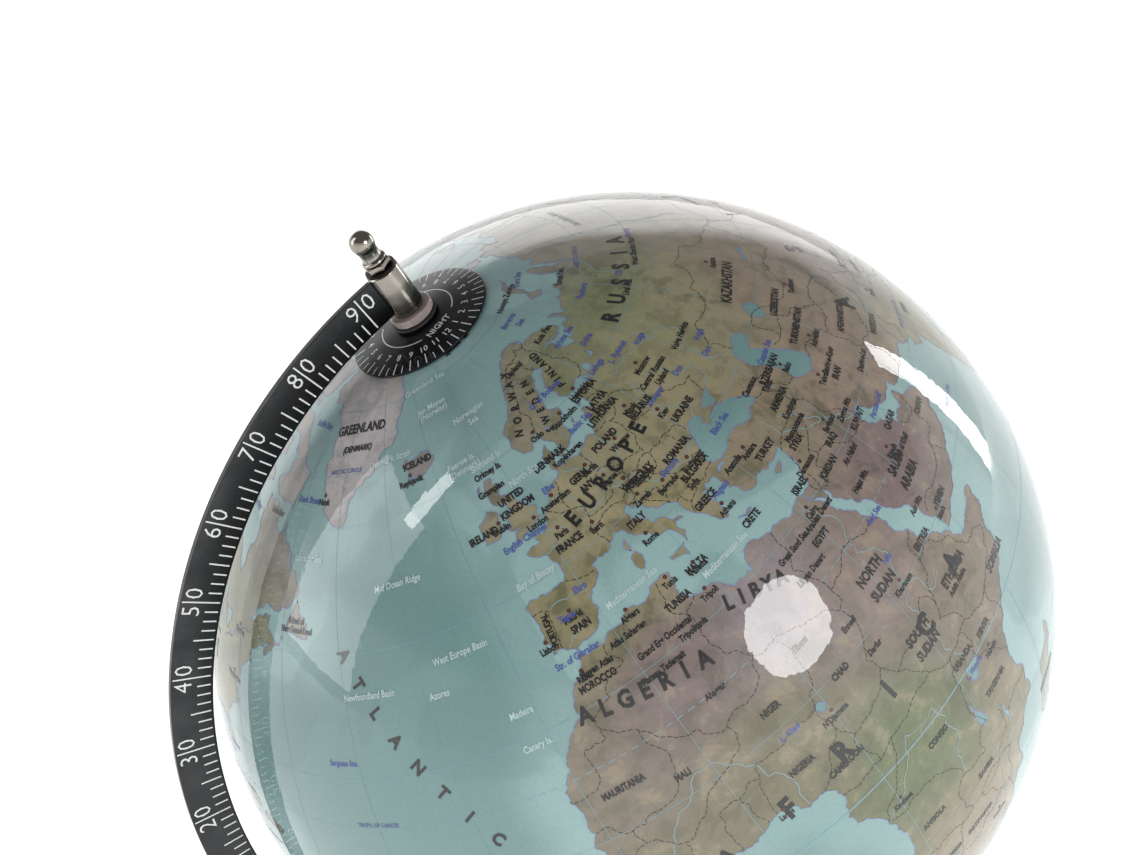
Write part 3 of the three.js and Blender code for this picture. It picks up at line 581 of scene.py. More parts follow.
LAND: dict[str, str] = {
    "eurasia": """-5.6 36 -6.3 36.6 -7.4 37.2 -8.9 37 -8.8 38.4 -9.5 38.7 -8.9 40.2 -8.8 41.5 -9.3 43.1 -8 43.7
        -5.9 43.6 -3.8 43.5 -1.8 43.4 -1.2 44.6 -1.1 45.6 -2.2 47.2 -4.4 47.9 -4.7 48.4 -3 48.8 -1.5 48.7
        -1.8 49.7 -.2 49.3 .2 49.7 1.6 50.2 1.6 50.9 3.2 51.4 4.2 52.2 4.8 53 6.9 53.5 8.1 53.6 8.8 54 8.6 55.4
        8.1 56.6 9.4 57.2 10.6 57.7 10.3 56.8 10.9 56.4 9.9 55.6 9.6 54.9 10.9 54.3 12.4 54.4 14.2 54 16.5 54.5
        18.5 54.8 19.4 54.4 20 54.9 21.1 55.7 21.1 56.8 21.7 57.6 22.6 57.7 23.5 57 24.4 57.4 24.3 58.4 23.5 58.8
        23.6 59.2 25.5 59.6 28 59.5 29.8 59.9 28.4 60.6 26 60.4 23 59.9 21.4 60.8 21.4 62 21.2 63 23 63.9
        25.2 64.9 25.3 65.4 24.2 65.8 22.3 65.6 21.4 64.6 19.4 63.6 17.8 62.6 17.3 61.2 17.2 60.6 18.8 60.1
        18.9 59.4 16.8 58.5 16.5 57.2 15.9 56.2 14.3 55.6 12.9 55.5 12.6 56.4 11.9 57.5 11.3 58.9 10.6 59.7
        9.8 59 8 58.1 6 58.4 5.3 59.3 5 60.6 5 62 7 63 9.7 64 11.3 64.9 12.5 66.2 14.6 67.6 16.5 68.6 19 69.8
        22 70.4 25.8 71.1 28.5 71 31 70.3 30 69.7 33 69.4 36.5 69 40.5 67.8 41 66.7 38.5 66.1 34.8 66.5 32.8 67.1
        34.8 64.5 37.5 63.8 38 64.8 40 64.6 40.2 65.6 42.1 66.5 44.1 66 43.4 68.6 46 68.2 46.2 67.6 47.7 67
        48.3 67.7 53.5 68.8 54.5 68.3 57 68.6 60.5 69.8 60.8 68.8 64.9 69.2 68 68.3 66.9 69.6 66.7 71 68.5 72.6
        70 73.3 72.8 72.8 72.5 71 73.5 68.8 71.6 66.5 73.5 67.6 74.4 68.8 73.6 70.8 75 72.7 78.5 72.3 80.5 72.5
        80.5 73.6 86.8 73.9 87 75 93 76 98.8 76.4 104.2 77.7 106.5 76.5 112.5 76.6 113.8 75.3 109.5 74 113 73.8
        118.5 73.1 123.5 73.5 126.8 73.5 129.5 71.3 133 71.5 139.8 72.3 142 72.7 150 71.5 152.5 70.9 159 70.8
        160 69.7 167.8 69.7 170.5 69.9 171 69 176 69.8 180 69 185 67.2 190.2 66.1 187 64.4 182 66 180.5 65
        178 64.4 179.5 62.6 174.5 61.8 170.3 59.9 166.3 60 164.5 59.9 163 58 162.5 56.2 160 53.2 156.7 51
        155.6 54.5 156.5 57.5 159.8 60 164 62.4 160 61.7 155 59.3 151 59.2 145.5 59.4 141 58.4 135.3 54.7
        137.5 53.7 141.3 53.1 140.5 50.5 140.4 48.3 135.5 44 132 43.2 130.6 42.4 129.7 41 127.5 39.7 129.4 37.2
        129.3 35.3 126.5 34.4 126.6 36.8 125 38 125.2 39.6 121.5 38.9 121.5 40.6 118.5 39.1 117.8 38.3 119 37.4
        122.5 37.2 119.3 35 120.5 33.4 121.8 31.8 121 30.4 122 29.5 120.5 27.2 118.6 24.6 116.5 23 113.8 22.3
        110.6 21.2 110.4 20.3 109.6 21.5 108.2 21.6 105.8 19 107.3 16.8 109.2 13.7 109.2 11.7 106.8 10.4
        104.9 8.7 105 10.2 103.3 10.8 101 12.7 100.8 13.4 99.9 12.5 99.3 9.3 100.5 7.3 102.5 6.1 103.4 4.2
        104.2 1.4 101.3 2.9 100.3 5.5 98.3 7.9 98.6 10.5 97.8 14.5 97.2 16.8 95.4 15.8 94.3 16.1 94.5 18.5
        92.3 20.9 91.7 22.4 89 21.8 87 21.5 86.5 20 84 18.3 82.3 16.7 80.2 15.4 80.1 13.2 79.9 10.4 79 9.3
        77.5 8.1 76.3 9.9 74.8 13 73.4 16.5 72.8 19.2 72.8 21.2 70.9 20.7 69 22.3 70.3 23 68.2 23.6 67.2 24.8
        66.5 25.4 61.6 25.1 57.3 25.7 57 27 54.5 26.6 51.5 27.9 50 30.1 48.5 30 48.4 28.4 50.1 26.6 50.2 25.6
        50.8 24.8 50.8 25.6 51.3 26.1 51.6 25 51.4 24.2 54.4 24.4 56.1 26.1 56.5 24.5 58.6 23.6 59.8 22.5
        57.7 19 55 17.1 52.2 15.6 48.7 14 45.1 12.9 43.4 12.7 42.8 15.3 40.7 19.8 39.1 21.4 38 24.1 36.5 26
        34.8 28 34.9 29.5 34.2 27.8 32.6 29.9 32.3 31.2 34.2 31.3 35 32.8 35.9 34.9 36 36.7 34 36.2 32.5 36.1
        30.6 36.8 29.5 36.2 27.4 36.7 26.4 38.4 26.2 39.5 26.3 40.2 26 40.7 24.4 40.9 23.9 40.1 22.9 40.5
        23.2 39.2 24 38 23.1 37.9 23.1 36.5 22.4 36.6 21.7 36.9 21.2 37.9 20.7 38.8 19.5 40.3 19.4 41.8 18 42.7
        16 43.6 15 44.6 13.8 44.9 13.6 45.7 12.4 45.3 12.4 44.2 13.6 43.5 14.7 42.1 16.1 41.9 18.4 40.2 17 40.5
        16.6 39.6 17.1 39 16.1 38 15.8 39.9 14.8 40.6 13 41.2 11.9 42.2 10.4 43.2 10 44 8.8 44.4 7.4 43.7
        6.2 43.1 4.6 43.4 3.1 43 3.2 41.9 .9 40.9 -.2 39.6 .2 38.7 -.8 37.7 -2 36.8 -4.4 36.7""",
    "africa": """-5.9 35.8 -2.2 35.1 0 35.9 3 36.8 7.5 37 9.8 37.3 11 37 10.6 35.8 10.1 34.3 11.1 33.2 13.2 32.9
        15.3 32.2 15.8 31.3 18 30.5 19.9 30.5 20 32 21.7 32.9 23.2 32.2 25.1 31.6 29 30.9 30 31.3 32.3 31.2
        32.6 29.9 33.6 27.9 35.5 24 37 22 37.3 20.8 37.4 18.9 38.6 18 39.6 15.5 42 13.3 43.2 12.4 43.2 11.5
        45 10.5 48 11.2 51.2 11.9 50.8 9.5 48 4.5 44 1.1 41.6 -1.7 39.5 -4.5 39 -6.5 39.5 -8.5 40.6 -10.8
        40.7 -15 37 -17.9 34.8 -19.8 35.5 -22.2 35.4 -24 32.8 -25.9 32.5 -28.3 30.9 -30.5 27.8 -33.1 25.7 -34
        22 -34.2 20 -34.8 18.4 -34.2 18 -32.5 16.8 -29.5 15.2 -27 14.5 -22.5 12 -18 13.4 -12.5 13.1 -8.8
        12.2 -6 9.3 -2.3 8.8 -.7 9.6 1.2 9.6 3.8 8.5 4.6 6.1 4.3 4.4 6.3 1.2 6.1 -2 4.8 -4.6 5.2 -7.6 4.4
        -9.3 5.6 -11.4 6.9 -13.2 8.7 -15 10.9 -16.7 12.4 -17.4 14.7 -16.3 16.5 -16.2 19.3 -17 21 -15.9 23.8
        -14.5 26.2 -12.9 27.9 -10 29.6 -9.7 31.5 -8.5 33.2 -6.8 34.1""",
    "britain": """-5.6 50.1 -3.6 50.3 -1.3 50.7 1.4 51.2 .8 51.5 1.7 52.6 .3 53 .1 53.6 -1.2 54.6 -1.6 55.5
        -3.2 56 -2.1 57.3 -3.9 57.7 -3.1 58.6 -5 58.6 -5.8 57.5 -5.6 56.3 -4.9 55.2 -3.2 54.9 -3 53.8 -4.5 53.3
        -4.3 52.5 -5.2 51.9 -3 51.4 -4.4 51.1""",
    "ireland": "-6.3 52.2 -8.5 51.6 -10.3 51.7 -9.6 52.8 -10 54.2 -8.4 54.6 -7.4 55.3 -5.6 54.6 -6.1 53.4",
    "iceland": """-22.6 63.8 -20.2 63.5 -18.8 63.4 -14.6 64.4 -13.6 65.2 -15.2 66.3 -18.3 66.1 -20.3 65.8
        -22.5 66.4 -24.2 65.5 -22 65 -22.1 64.4""",
    "greenland": """-44 60 -48.5 61 -51.5 63.6 -53.7 66.5 -53.5 69 -54.5 70.8 -56 73.5 -59 75.5 -67 76 -71 77.6
        -67 79.2 -64 81.2 -57 82.2 -46 82.8 -33 83.6 -22 82.7 -15 81 -19 79 -19.5 76.5 -21.5 73.5 -24 70.5
        -31.5 68.2 -37 65.8 -40.5 64.5 -42.5 61.5""",
    "spitsbergen": "11 79.5 16 80 25 80 21.5 78.4 17.5 76.7 13.8 78.1",
    "novaya_zemlya": "51.7 71.5 55.5 73.3 56 75 61 76.3 68.5 76.9 61 75.3 58.5 74 57.5 71 54.5 70.7",
    "severnaya_zemlya": "95 79.2 96 81 105 79.5 104 78.2 99.5 78",
    "franz_josef": "45 80.5 52 81.3 62 81 58 80.2",
    "new_siberia": "137.5 75.7 143 76 150 75.2 143 73.3 139.5 74.7",
    "wrangel": "178.7 71.5 181.5 71.5 181 70.9 179 70.8",
    "sicily": "12.5 38 15.6 38.2 15.1 36.7 12.7 37.6",
    "sardinia": "8.3 40.9 9.5 41.2 9.7 40 9 39 8.4 39.2",
    "corsica": "8.7 42.5 9.4 43 9.4 41.9 9.1 41.4 8.6 41.9",
    "crete": "23.6 35.5 26.2 35.2 24.8 34.9",
    "cyprus": "32.4 35 34.5 35.6 33.9 35 33 34.6",
    "zealand": "11.1 55.6 12.5 56 12.2 55 11.3 55.2",
    "gotland": "18.2 57.3 19.2 57.9 18.6 57.1",
    "saaremaa": "22 58.3 23.2 58.5 22.2 58",
    "hebrides": "-7.3 57 -6.3 58.4 -6.9 57.7",
    "newfoundland": "-59.3 47.7 -57.5 49.7 -56 51.5 -55.5 50 -53 48.6 -52.8 46.9 -55.8 47",
    "north_america": """-168.1 65.6 -161.5 66.3 -166.3 68.3 -163 69.5 -156.6 71.3 -150 70.5 -141 69.7 -134 69.5
        -128 70 -123 69.4 -115 68 -108 67.5 -101 68 -95.5 68 -94.8 71.7 -92 69.6 -90.5 68.5 -86 67.5 -85 69.5
        -82 69.5 -81.5 67.5 -86 66.2 -87 65 -93.5 62.5 -94.5 59 -92.5 57.1 -85.5 55.3 -82.2 53 -80.5 51.3
        -79 53.5 -77 56.5 -78.3 58.8 -77.5 60.5 -78 62.4 -73.5 62.3 -70 60.9 -67.5 58.3 -64.8 60.3 -61.8 57.5
        -57.5 54.5 -55.8 52.5 -60 50.2 -66.3 50.2 -71 47 -64.3 48.8 -65 47.2 -61 45.6 -60 46.8 -60.9 45.4
        -63.5 44.5 -65.8 43.5 -66 44.8 -64.2 45.4 -67.2 44.6 -70.2 43.6 -70.7 42 -70 41.8 -73.8 40.6 -75.2 38.5
        -76 36.9 -75.5 35.2 -78 33.9 -81 32 -81.3 30.3 -80.1 26.5 -81.2 25.2 -82.7 27.8 -84 30 -88 30.3
        -89.3 29.1 -92.5 29.5 -95 29.2 -97.3 27.5 -97.7 24 -97.2 20.5 -95 18.6 -91.5 18.6 -90.4 21 -87 21.5
        -87.6 18.2 -88.5 16 -83.3 15 -83.6 11 -82 9 -79.5 9.5 -77.4 8.5 -77.9 7.3 -80 7.4 -82.8 8.2 -85.8 10
        -87.6 13 -91.5 14 -94.5 16.2 -96.5 15.7 -101.5 17.7 -105.5 20.3 -105.6 22.5 -109.3 25.8 -112 28.8
        -114.7 31.6 -113 28.5 -110 24 -109.5 23 -112.2 25.5 -115 28 -117.1 32.5 -120.6 34.5 -122.5 37.5
        -124.3 40.3 -124 46.2 -123 48.5 -127.5 51 -130.5 54.5 -134 58 -139.5 59.7 -146 60.8 -151.5 59.3
        -154 59 -158.5 56.5 -164.5 54.7 -158 58.5 -162 58.7 -165 61 -161 64.3 -166.5 64.5""",
    "baffin": """-61.5 66.6 -64 64 -65 61.9 -71.5 62.8 -78 64.5 -73.5 66 -73 68 -78 70 -88 70.5 -89.5 73 -81 73.7
        -74 71.5 -68 69.8""",
    "victoria_island": "-117 70.5 -115 73 -105 73 -101.5 69.5 -108 68.6 -116.5 69.2",
    "ellesmere": "-88 76.3 -79 76 -73 79 -62 82.4 -75 83.1 -91 81.5 -87 79",
    "banks": "-125 72 -121 74.4 -116 73.2 -122.5 71.2",
    "devon": "-96 76.5 -80 75.4 -81 74.6 -92 74.8",
    "axel_heiberg": "-96 80 -91 81 -88 79 -91 78.2",
    "melville": "-117 76 -106 75.6 -108 74.9 -114 74.8",
    "somerset": "-102 73 -92 74 -91 72.8 -96 71.5 -101 72",
    "southampton": "-87 65.5 -80.5 63.7 -86.5 63.6",
    "cuba": "-84.9 21.9 -82.5 23.1 -78 22.4 -74.2 20.2 -77.6 19.9 -78.2 20.8 -82 22.4",
    "hispaniola": "-74.4 18.4 -73 19.9 -68.4 18.6 -71.5 17.7",
    "jamaica": "-78.3 18.3 -76.3 18.1 -77.2 17.8",
    "south_america": """-77.4 8.5 -75.5 10.6 -72 12.2 -71.5 10.8 -68.2 10.6 -62 10.7 -60 8.4 -57 6 -52 4.8
        -50 1.5 -50 -.3 -48 -.8 -44.3 -2.6 -39 -3.2 -35.2 -5.4 -34.9 -8 -37.3 -11.5 -39 -13.5 -39.2 -17.8
        -41 -21.9 -43.2 -23 -46.5 -24.2 -48.6 -26.5 -50 -29.5 -52.3 -32.5 -54.9 -34.9 -58.3 -34.3 -56.8 -36.4
        -58 -38.2 -62.2 -39 -62.4 -40.8 -65 -41 -63.8 -42.7 -65.5 -45 -67.5 -46.2 -65.8 -47.9 -69 -50.8
        -68.4 -52.4 -65.2 -54.8 -69 -55.5 -72.5 -53.5 -75.3 -50.5 -75 -47 -73 -43.5 -73.8 -41 -73.3 -37
        -71.6 -33 -71.5 -29.5 -70.3 -23.5 -70.3 -18.4 -76.2 -14 -77.2 -12 -79.8 -7.5 -81.3 -5.5 -80.3 -3.3
        -80.9 -1 -80 .8 -78.5 2.3 -77.3 4 -77.9 7.3""",
    "falklands": "-61 -51.8 -57.8 -51.6 -59.5 -52.3",
    "australia": """113.7 -22.6 114.2 -26.3 115.7 -31.8 115.1 -34.3 118 -35.1 123.5 -34 129 -31.7 134.2 -32.9
        135.7 -34.9 137.9 -33.2 138.5 -35.6 140.5 -38 143.5 -38.8 146.4 -39.1 150 -37.5 151.3 -33.8 153.1 -30.5
        153.5 -27.5 150.8 -23.4 146.3 -18.9 145.3 -15 142.6 -10.7 141.6 -13.5 140.8 -17.6 137 -15.9 135.7 -14.8
        136.9 -12.2 132.6 -11.5 130.8 -12.5 129.5 -15 126.8 -13.9 122.2 -18 118.5 -20.3""",
    "tasmania": "144.7 -40.7 148.3 -40.9 147 -43.6 145.3 -42.6",
    "new_zealand_north": "172.8 -34.5 175.5 -36.6 178.5 -37.7 176.9 -39.6 175.2 -41.6 173.8 -39.3 174.8 -37.5",
    "new_zealand_south": "172.7 -40.6 174.3 -41.7 172.8 -43.8 170.7 -45.9 168.5 -46.6 166.6 -45.9 171 -42.5",
    "new_guinea": """131 -.8 134.2 -.9 135 -3.3 138 -1.7 144.5 -3.9 147.8 -6.1 150.8 -10.3 147 -9.5 143.3 -8.9
        138 -8.2 138.5 -7 135 -4.4 132.8 -4 133 -2.6""",
    "new_britain": "148.5 -5.6 152.2 -4.2 151.5 -5.6 149.8 -6.3",
    "borneo": """109.2 1.8 111.3 2.5 113.9 4.5 116.8 7 119.2 5.2 117.9 1.5 116.2 -3.8 114.5 -4 110.2 -2.8
        109.1 .2""",
    "sumatra": "95.3 5.6 98 4.3 103.5 -1 105.9 -3 105.7 -5.8 102.3 -4 98.8 1.7",
    "java": "105.3 -6.8 108.5 -6.7 114.4 -7.8 114.4 -8.7 106.5 -7.4",
    "timor": "119.8 -9.4 127 -8.4 124 -10.2",
    "sulawesi": """119.5 -5.5 118.9 -2.8 120 .7 125 1.5 120.5 .4 121.2 -1 123.3 -.9 121.6 -2 122.8 -4.6 121 -3
        120.4 -5.6""",
    "luzon": "120.6 18.5 122.2 18.4 121.6 16 124 12.7 120.6 13.9 120 16",
    "mindanao": "122 7 123.5 8.5 125.6 9.8 126.5 7.5 125.6 5.6 124 6.8",
    "taiwan": "120.2 23 121.5 25.2 121 22",
    "hainan": "108.7 19.2 110.8 20 110 18.4",
    "ceylon": "79.9 8 80.2 9.8 81.8 7.5 80.6 6",
    "madagascar": "44 -20 44.5 -16.2 49.3 -12 50.4 -15.8 47.2 -25 45.2 -25.5 43.5 -22.5",
    "honshu": """131 34 132.7 35.5 136.8 37.4 138.8 37.8 140 39.8 141.3 41.4 142 39.5 140.9 36 138.7 34.7
        135.7 33.5 132.5 34.3""",
    "kyushu": "129.8 33 130.6 33.9 131.9 33.3 131 31.3 130.2 31.4",
    "shikoku": "132.3 33.5 134.5 34.3 134.2 33.4 132.9 32.8",
    "hokkaido": "140 42 141.7 45.4 145.4 43.4 143.3 42 141 41.8",
    "sakhalin": "142 46 142 49 141.8 53.4 143.2 53.5 143.5 49.3 143 47",
    "antarctica": """-181 -78.5 -158 -78 -150 -77 -135 -74.5 -120 -74 -103 -75 -88 -73 -75 -73.5 -67.5 -68
        -62 -64.5 -57 -63.3 -61 -68 -62 -74 -75 -77.5 -60 -80 -40 -78.5 -28 -76.3 -15 -72 0 -70 20 -70
        40 -68.8 52 -66 70 -69 80 -67.7 100 -66 120 -66.5 136 -66.2 150 -68.5 165 -71 165 -78 180 -78.5
        180 -90 -181 -90""",
}

WATER: dict[str, str] = {
    "black_sea": """29.1 41.2 31.4 41.3 33.3 42 35.1 42 36.3 41.4 38.4 40.9 41.5 41.5 41.5 42.6 39.8 43.4
        37.6 44.7 36.6 45.2 35.4 45 33.6 44.4 32.6 45.3 33.7 46 31.5 46.6 30.7 46.4 29.7 45.2 28.7 44 27.9 43.2
        27.6 42.5 28.1 41.6""",
    "azov": "36.7 45.4 35.2 46 35.5 46.5 37 46.8 39.3 47.2 38 46.4 37.8 45.7",
    "marmara": "27.3 40.5 28 41 29 41 29 40.5",
    "caspian": """47.5 45.5 49.5 46.4 51.5 47 53 46.5 53.1 45.2 50.3 44.4 51.3 43.2 52.6 41.8 52.9 40.9
        53.6 40 53.8 38.9 53.9 37.2 52 36.6 50.2 37.3 48.9 38.4 49.4 40.3 48.6 41.8 47.5 43 47.3 44.2""",
    "aral": "58.5 45.8 60.5 46.4 61.3 45 60 43.8 58.5 43.9",
    "ladoga": "30.5 60.5 31 61.2 32.5 61 32.5 60.2 31.2 60",
    "onega": "34.6 61 35.4 62 36.3 61.2 35.5 60.9",
    "vanern": "12.8 58.6 13.2 59.3 14.1 58.8",
    "baikal": "104 51.6 107 53 109.7 55.6 109 54 106 51.6",
    "balkhash": "74 46 76 46.6 79 46.5 76 46.3",
    "chad": "13.3 13.4 14.3 14 15 13.1 14.2 12.7",
    "victoria": "31.8 .2 33.8 .3 34 -1 33 -2.4 31.8 -2",
    "tanganyika": "29.2 -3.6 29.8 -5.5 31 -8.5 30.5 -8.6 29.3 -6",
    "nyasa": "34 -9.7 34.8 -12 35 -14 34.3 -13 33.9 -11",
    "superior": "-92 46.8 -88 48.8 -84.8 47.8 -84.8 46.6 -87.5 46.5",
    "michigan": "-87.7 42 -87.5 45 -85.5 45.9 -86.2 43.5 -86.8 41.8",
    "huron": "-84 45.8 -80.8 45.8 -80.3 44.6 -81.7 43.4 -82.4 43.2 -83.4 44.8",
    "erie": "-83 41.7 -79.2 42.8 -81.5 42.5",
    "ontario": "-79.6 43.3 -76.4 44 -76.5 43.5",
    "winnipeg": "-98 53.5 -97 50.8 -98.5 51.5",
    "slave": "-116 61.2 -111 62.6 -109.5 62.6 -113.5 61",
    "great_bear": "-124 66 -119 67 -118 65.8 -122 65",
}

